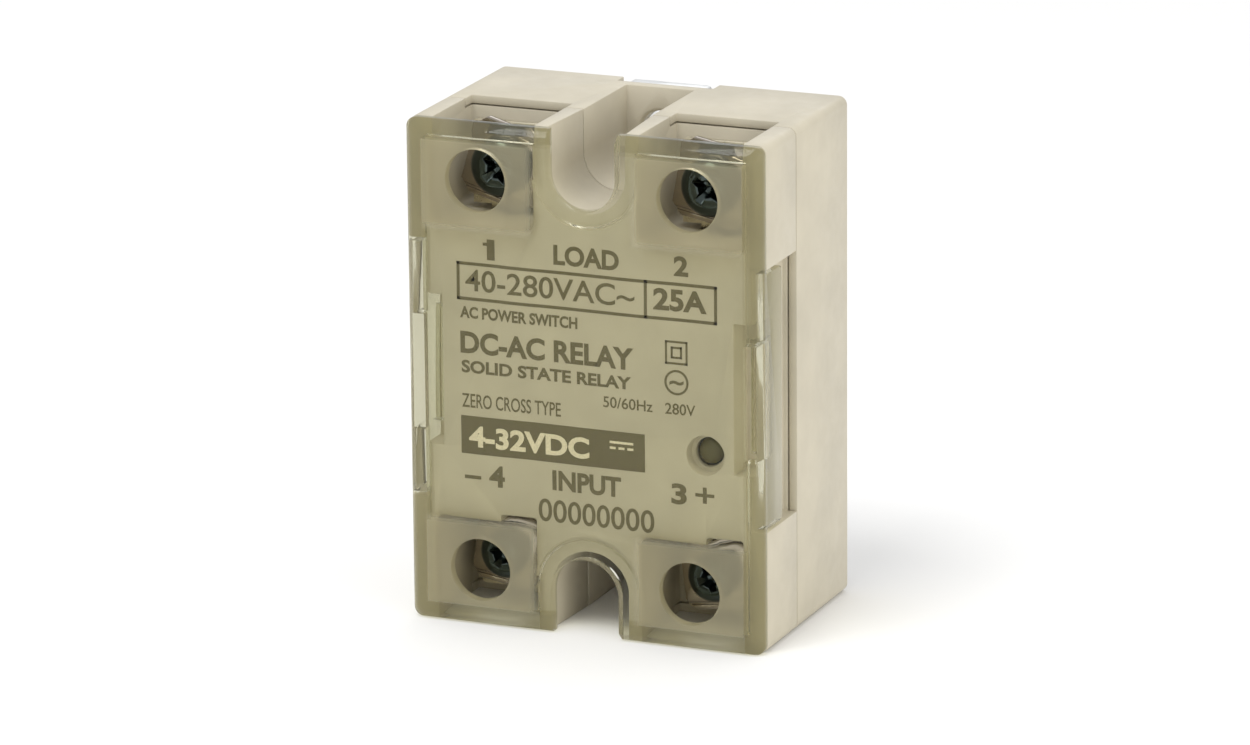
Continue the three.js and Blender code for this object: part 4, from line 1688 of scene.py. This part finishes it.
    def lamp(self, name: str, lens: bpy.types.Material, wire: bpy.types.Material) -> bpy.types.Object:
        """The indicator lamp: a domed lens with a flange, on two leads."""
        x, z = 14.1, -6.7
        profile = [
            (1.9, -18.7), (1.9, -19.6), (1.82, -19.7), (1.6, -19.72), (1.6, -22.9), (1.52, -23.25),
            (1.32, -23.52), (1.0, -23.7), (0.6, -23.82), (0.2, -23.85),
        ]
        bulb = Bench.dress(Bench.smooth(Bench.turned(name, profile, (x, z), 48), 50), lens)
        legs = []
        for step in (-1.27, 1.27):
            leg = Bench.block("leg", (x + step - 0.25, x + step + 0.25), (-18.9, self.board), (z - 0.25, z + 0.25))
            legs.append(Bench.dress(Bench.ease(leg, 0.05), wire))
        return Bench.join(name, bulb, *legs)


@dataclass
class ControlBoard:
    """The printed circuit board between the power stage and the parts in front of it."""

    half_x: float = 18.0
    y: Span = (-12.4, -11.2)
    z: Span = (-18.2, 16.5)
    notch_x: float = 12.65

    def build(self, lacquer: bpy.types.Material, tin: bpy.types.Material) -> bpy.types.Object:
        """Routs, drills and finishes the board.

        Args:
            lacquer: The green lacquer over the tracks.
            tin: The solder on the joints.

        Returns:
            The board.
        """
        board = Bench.block("circuit_board", (-self.half_x, self.half_x), self.y, self.z)
        for side in (-1, 1):
            x = side * self.notch_x
            Bench.cut(board, Bench.block("notch", (x - 1.7, x + 1.7), (-20.0, 0.0), (-40.0, -17.0)))
        Bench.cut(board, Bench.rod("via", (-16.6, -5.5), 0.5, 0.0, -20.0, 20))
        Bench.cut(board, Bench.rod("via", (9.8, -15.0), 0.5, 0.0, -20.0, 20))
        Bench.dress(Bench.ease(board, 0.06), lacquer)
        joints = [self._joint(x, z, tin) for x, z in self._joint_places()]
        return Bench.join("circuit_board", board, *joints)

    def _joint_places(self) -> list[Span]:
        """X and Z of each solder joint on the back of the board."""
        pairs = [(-8.5, -3.5, 6.25), (-8.5, -8.0, 4.75), (-8.5, -11.6, 4.75), (4.5, -11.6, 3.75)]
        places = [(x + side * half, z) for x, z, half in pairs for side in (-1, 1)]
        places += [(2.5 + side * 3.8, -1.0 + step) for side in (-1, 1) for step in (-2.54, 0.0, 2.54)]
        places += [(-13.9, 9.4), (-3.9, 9.4), (4.3, 10.6), (9.3, 10.6)]
        return places

    def _joint(self, x: float, z: float, tin: bpy.types.Material) -> bpy.types.Object:
        """One solder joint: a small cone with a rounded tip.

        Args:
            x: Its X.
            z: Its Z.
            tin: The solder.

        Returns:
            The joint.
        """
        back = self.y[1]
        cone = [(0.85, back - 0.05), (0.8, back + 0.08), (0.45, back + 0.42), (0.28, back + 0.75), (0.1, back + 0.82)]
        return Bench.dress(Bench.smooth(Bench.turned("joint", cone, (x, z), 16), 70), tin)

    @staticmethod
    def pin(name: str, x: float, z: float, finish: bpy.types.Material) -> bpy.types.Object:
        """A pin from the power stage to the board, with a collar at its foot.

        Args:
            name: Its name.
            x: Its X.
            z: Its Z.
            finish: The plating.

        Returns:
            The pin.
        """
        profile = [(0.3, -3.05), (0.4, -3.15), (0.4, -6.0), (0.55, -6.1), (0.55, -6.5), (0.4, -6.6)]
        profile += [(0.4, -11.0), (0.28, -11.15)]
        return Bench.dress(Bench.smooth(Bench.turned(name, profile, (x, z), 20)), finish)


@dataclass
class Studio:
    """The pale floor, soft lamps and camera. Lengths are in metres, angles in degrees."""

    floor_z: float = -0.029
    azimuth: float = 22.7017
    elevation: float = 15.7931
    roll: float = -0.5228
    distance: float = 0.8150177
    aim: tuple[float, float, float] = (0.0, -0.012, 0.0)
    slide: tuple[float, float] = (-0.0010031, -0.002066)
    lens: float = 208.44
    lamps: Sequence[tuple[str, Colour, float, float, Colour]] = (
        ("key_lamp", (-0.14, -0.42, 0.9), 0.4, 4.85, (1.0, 1.0, 1.0)),
        ("fill_lamp", (0.93, -0.3, 0.2), 0.7, 4.05, (1.0, 0.965, 0.86)),
        ("back_lamp", (-0.2, 1.05, 0.52), 0.5, 0.9, (1.0, 1.0, 1.0)),
    )

    def build(self) -> None:
        """Sets up the floor, the surrounding light, the lamps and the camera."""
        self._floor()
        self._surround()
        for name, place, size, power, colour in self.lamps:
            self._lamp(name, Vector(place), size, power, colour)
        self._camera()
        view = bpy.context.scene.view_settings
        view.view_transform = "Standard"
        view.look = "None"

    def _floor(self) -> None:
        """A wide pale floor that curves up far behind the object."""
        Bench.clear()
        bpy.ops.mesh.primitive_plane_add(size=8.0, location=(0.0, 2.0, self.floor_z))
        floor = Bench.settle(bpy.context.object, "floor")
        Bench.pick(floor)
        bpy.ops.object.mode_set(mode="EDIT")
        bpy.ops.mesh.select_mode(type="EDGE")
        bpy.ops.mesh.select_all(action="DESELECT")
        bpy.ops.object.mode_set(mode="OBJECT")
        for edge in floor.data.edges:
            ends = [floor.data.vertices[i].co for i in edge.vertices]
            edge.select = all(end.y > 5.9 for end in ends)
        bpy.ops.object.mode_set(mode="EDIT")
        bpy.ops.mesh.extrude_region_move(TRANSFORM_OT_translate={"value": (0.0, 0.0, 4.0)})
        bpy.ops.object.mode_set(mode="OBJECT")
        recipe = Recipe("pale_floor")
        recipe.blend(recipe.spread(recipe.noise(2, 3), 0, 1), linear(238, 238, 238), linear(242, 242, 242))
        recipe.rough(recipe.noise(3, 2), 0.85, 0.95)
        recipe.set(Specular_IOR_Level=0.1)
        Bench.dress(floor, recipe.material)

    def _surround(self) -> None:
        """Even white light from all round."""
        world = bpy.data.worlds.new("studio_white")
        bpy.context.scene.world = world
        world.use_nodes = True
        sky = world.node_tree.nodes["Background"]
        sky.inputs["Color"].default_value = (1.0, 1.0, 1.0, 1.0)
        sky.inputs["Strength"].default_value = 0.8

    def _lamp(self, name: str, place: Vector, size: float, power: float, colour: Colour) -> None:
        """A soft square lamp that faces the object.

        Args:
            name: Its name.
            place: Where it stands.
            size: Its side.
            power: Its power in watts.
            colour: The colour of its light.
        """
        data = bpy.data.lights.new(name, "AREA")
        data.color = colour
        data.shape = "SQUARE"
        data.size = size
        data.energy = power
        lamp = bpy.data.objects.new(name, data)
        lamp.location = place
        lamp.rotation_euler = (-place).to_track_quat("-Z", "Y").to_euler()
        bpy.context.collection.objects.link(lamp)

    def _camera(self) -> None:
        """The camera, aimed from the right and slightly above."""
        turn, tilt, roll = (math.radians(v) for v in (self.azimuth, self.elevation, self.roll))
        back = Vector((math.sin(turn) * math.cos(tilt), -math.cos(turn) * math.cos(tilt), math.sin(tilt)))
        level = Vector((math.cos(turn), math.sin(turn), 0.0))
        upright = back.cross(level)
        right = math.cos(roll) * level + math.sin(roll) * upright
        up = -math.sin(roll) * level + math.cos(roll) * upright
        place = Vector(self.aim) + self.distance * back + self.slide[0] * right + self.slide[1] * up
        data = bpy.data.cameras.new("camera")
        data.sensor_width = 36.0
        data.lens = self.lens
        data.clip_start = 0.05
        data.clip_end = 50.0
        camera = bpy.data.objects.new("camera", data)
        turned = Matrix((right, up, back)).transposed().to_4x4()
        camera.matrix_world = Matrix.Translation(place) @ turned
        bpy.context.collection.objects.link(camera)
        bpy.context.scene.camera = camera


@dataclass
class Relay:
    """The whole relay: builds each sub-assembly and ties its pieces to the moving bodies."""

    outline: CaseOutline = field(default_factory=CaseOutline)
    finishes: dict[str, bpy.types.Material] = field(default_factory=dict)
    stations: Sequence[tuple[int, str, int, int, float, ScrewSize]] = (
        (1, "load", -1, 1, 16.0, M4),
        (2, "load", 1, 1, 11.0, M4),
        (3, "input", 1, -1, -7.0, M3_5),
        (4, "input", -1, -1, 9.0, M3_5),
    )

    def mix_finishes(self) -> None:
        """Makes every material once."""
        brown, black, red = linear(96, 52, 30), linear(24, 24, 26), linear(170, 44, 34)
        gold, tan = linear(190, 150, 70), linear(206, 178, 132)
        orders = {
            "housing": Moulding("beige_case", BEIGE),
            # The cover's third colour is painted shade over the pockets. Its fourth is the painted shade of the light
            # let into them.
            "cover": ClearCover(
                "smoky_cover", (0.79, 0.785, 0.69), (0.61, 0.59, 0.45), (0.62, 0.58, 0.42), (0.54, 0.505, 0.38)
            ),
            "ink": Ink("label_ink", linear(98, 91, 66)),
            "bare": Ink("bare_print", linear(214, 206, 184)),
            "aluminium": Metal("brushed_aluminium", linear(230, 232, 233), (0.28, 0.42), (9000.0, 9000.0, 300.0)),
            "terminal": Metal("tinned_brass", linear(214, 206, 182), (0.24, 0.4), (2500.0, 2500.0, 2500.0)),
            "washer": Metal("nickel_washer", linear(168, 160, 150), (0.08, 0.18), (300.0, 6000.0, 6000.0)),
            # The screws' near-black colour is painted reflection: the heads stand for the dark surroundings that they
            # reflect, and the lamps still give glints.
            "screw": Metal("screw_painted_dark_reflection", linear(70, 78, 76), (0.08, 0.18), (1500.0, 1500.0, 1500.0)),
            "wire": Metal("tinned_wire", linear(206, 206, 204), (0.2, 0.34), (3000.0, 3000.0, 3000.0)),
            "copper": Metal("bare_copper", linear(196, 120, 84), (0.26, 0.42), (500.0, 5000.0, 5000.0)),
            "silicon": Metal("silicon_chip", linear(120, 124, 136), (0.1, 0.2), (900.0, 900.0, 900.0)),
            "ceramic": Moulding("alumina", linear(240, 238, 230), (0.5, 0.65), Grain.SATIN, 0.03),
            "black": Moulding("black_body", black, (0.4, 0.55), Grain.SATIN, 0.1),
            "film": Moulding("capacitor_case", linear(178, 58, 42), (0.3, 0.42), Grain.SATIN, 0.05),
            "varistor": Moulding("varistor_coat", linear(46, 98, 166), (0.3, 0.45), Grain.GLOSS, 0.08),
            "lens": Moulding("lamp_lens", linear(104, 99, 66), (0.12, 0.2), Grain.GLOSS, 0.05),
            "board": BoardLacquer("board_lacquer", linear(34, 96, 52), linear(58, 128, 70)),
        }
        stripes = ((0.2, 0.26, brown), (0.34, 0.4, black), (0.48, 0.54, red), (0.76, 0.82, gold))
        for name, start, length in (("large", -13.0, 9.0), ("small", -11.7, 6.4)):
            orders[f"{name}_resistor"] = BandedPaint(f"{name}_resistor", tan, stripes, start, length)
        orders["diode"] = BandedPaint("diode_body", black, ((0.1, 0.24, linear(200, 200, 198)),), 2.4, 4.2)
        self.finishes = {name: order.make() for name, order in orders.items()}

    def place(self, piece: bpy.types.Object, node: str, slot: str, body: str = "relay_body") -> None:
        """Ties a finished piece to its body, and lets it stand for its plain part.

        Args:
            piece: The finished piece.
            node: The plain part that it stands for, or nothing.
            slot: The material slot that its finish belongs to; not used.
            body: The body that it moves with.
        """
        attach(piece, body)
        if node:
            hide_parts(node)
        LOG.info("%s rides on %s, %d faces", piece.name, body, len(piece.data.polygons))

    def build_case(self) -> None:
        """Builds the base plate, both shells, the label and the cover."""
        use = self.finishes
        self.place(BasePlate().build(use["aluminium"]), "base_plate", "aluminium")
        self.place(RearCase(self.outline).build(use["housing"]), "rear_case", "housing")
        self.place(TerminalBlock(self.outline).build(use["housing"]), "terminal_block", "housing")
        for piece in LabelPrint().build(use["ink"], use["bare"]):
            self.place(piece, "", "housing")
        self.place(TerminalCover(self.outline).build(use["cover"]), "terminal_cover", "smoky_cover", "cover")

    def build_terminals(self) -> None:
        """Builds the four terminals, and copies a screw and a washer to each."""
        use = self.finishes
        patterns = {}
        for size in (M4, M3_5):
            screw = ClampScrew(size).pattern(use["screw"])
            washer = ClampWasher(size).pattern(use["washer"])
            patterns[size.head] = (screw, washer)
        for number, kind, side, end, turn, size in self.stations:
            screw, washer = patterns[size.head]
            x, z = side * 12.65, end * 22.5
            clamp = Bench.copy(washer, f"washer_{number}_plated", turn, Vector((x, -17.9, z)))
            self.place(clamp, f"{kind}_washer_{number}", "washer_plating", f"washer_{number}")
            bolt = Bench.copy(screw, f"screw_{number}_plated", 3 * turn, Vector((x, -18.75, z)))
            self.place(bolt, f"{kind}_screw_{number}", "screw_steel", f"screw_{number}")
            name = f"{kind}_strip_{number}"
            if kind == "load":
                strip = TerminalStrip(size, 4.2, 27.2, 2.0).load(name, side, use["terminal"])
            else:
                strip = TerminalStrip(size, 3.8, 27.0, 1.5).input(name, side, use["terminal"])
            self.place(strip, f"{kind}_terminal_{number}", "terminal_plating")
        for pair in patterns.values():
            Bench.discard(*pair)

    def build_inside(self) -> None:
        """Builds the power stage, the control board and the parts on it."""
        use = self.finishes
        slots = {"ceramic_substrate": "ceramic", "triac_chip": "silicon"}
        for node, piece in PowerStage().build(use).items():
            self.place(piece, node, slots.get(node, "copper"))
        self.place(ControlBoard().build(use["board"], use["wire"]), "control_board", "circuit_board")
        for name, x, z in (("gate_pin", 12.5, -6.5), ("pad_pin_1", -12.5, -6.5), ("pad_pin_2", 1.0, 9.5)):
            self.place(ControlBoard.pin(f"{name}_tinned", x, z, use["terminal"]), name, "terminal_plating")
        made = LeadedPart()
        wire = use["wire"]
        rows = (
            ("snubber_resistor", -8.5, -3.5, 1.7, 9.0, 12.5, "large_resistor", "resistor_body"),
            ("gate_resistor", -8.5, -8.0, 1.1, 6.4, 9.5, "small_resistor", "resistor_body"),
            ("input_resistor", -8.5, -11.6, 1.1, 6.4, 9.5, "small_resistor", "resistor_body"),
            ("input_diode", 4.5, -11.6, 1.0, 4.2, 7.5, "diode", "black_moulding"),
        )
        for node, x, z, radius, length, span, finish, slot in rows:
            part = made.axial(f"{node}_body", x, z, radius, length, span, use[finish], wire)
            self.place(part, node, slot)
        self.place(made.coupler("coupler_body", use["black"], wire), "photocoupler", "black_moulding")
        self.place(made.transistor("transistor_body", use["black"], wire), "drive_transistor", "black_moulding")
        self.place(made.capacitor("film_capacitor", use["film"], wire), "snubber_capacitor", "capacitor_case")
        self.place(made.varistor("varistor_disc", use["varistor"], wire), "varistor", "varistor_coating")
        self.place(made.lamp("lamp_body", use["lens"], wire), "indicator_lamp", "lamp_lens")


def main() -> None:
    """Builds the relay and its studio."""
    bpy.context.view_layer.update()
    studio = Studio()
    studio.build()
    LOG.info("studio is set up")
    relay = Relay()
    relay.mix_finishes()
    relay.build_case()
    relay.build_terminals()
    relay.build_inside()


if __name__ == "__main__":
    main()
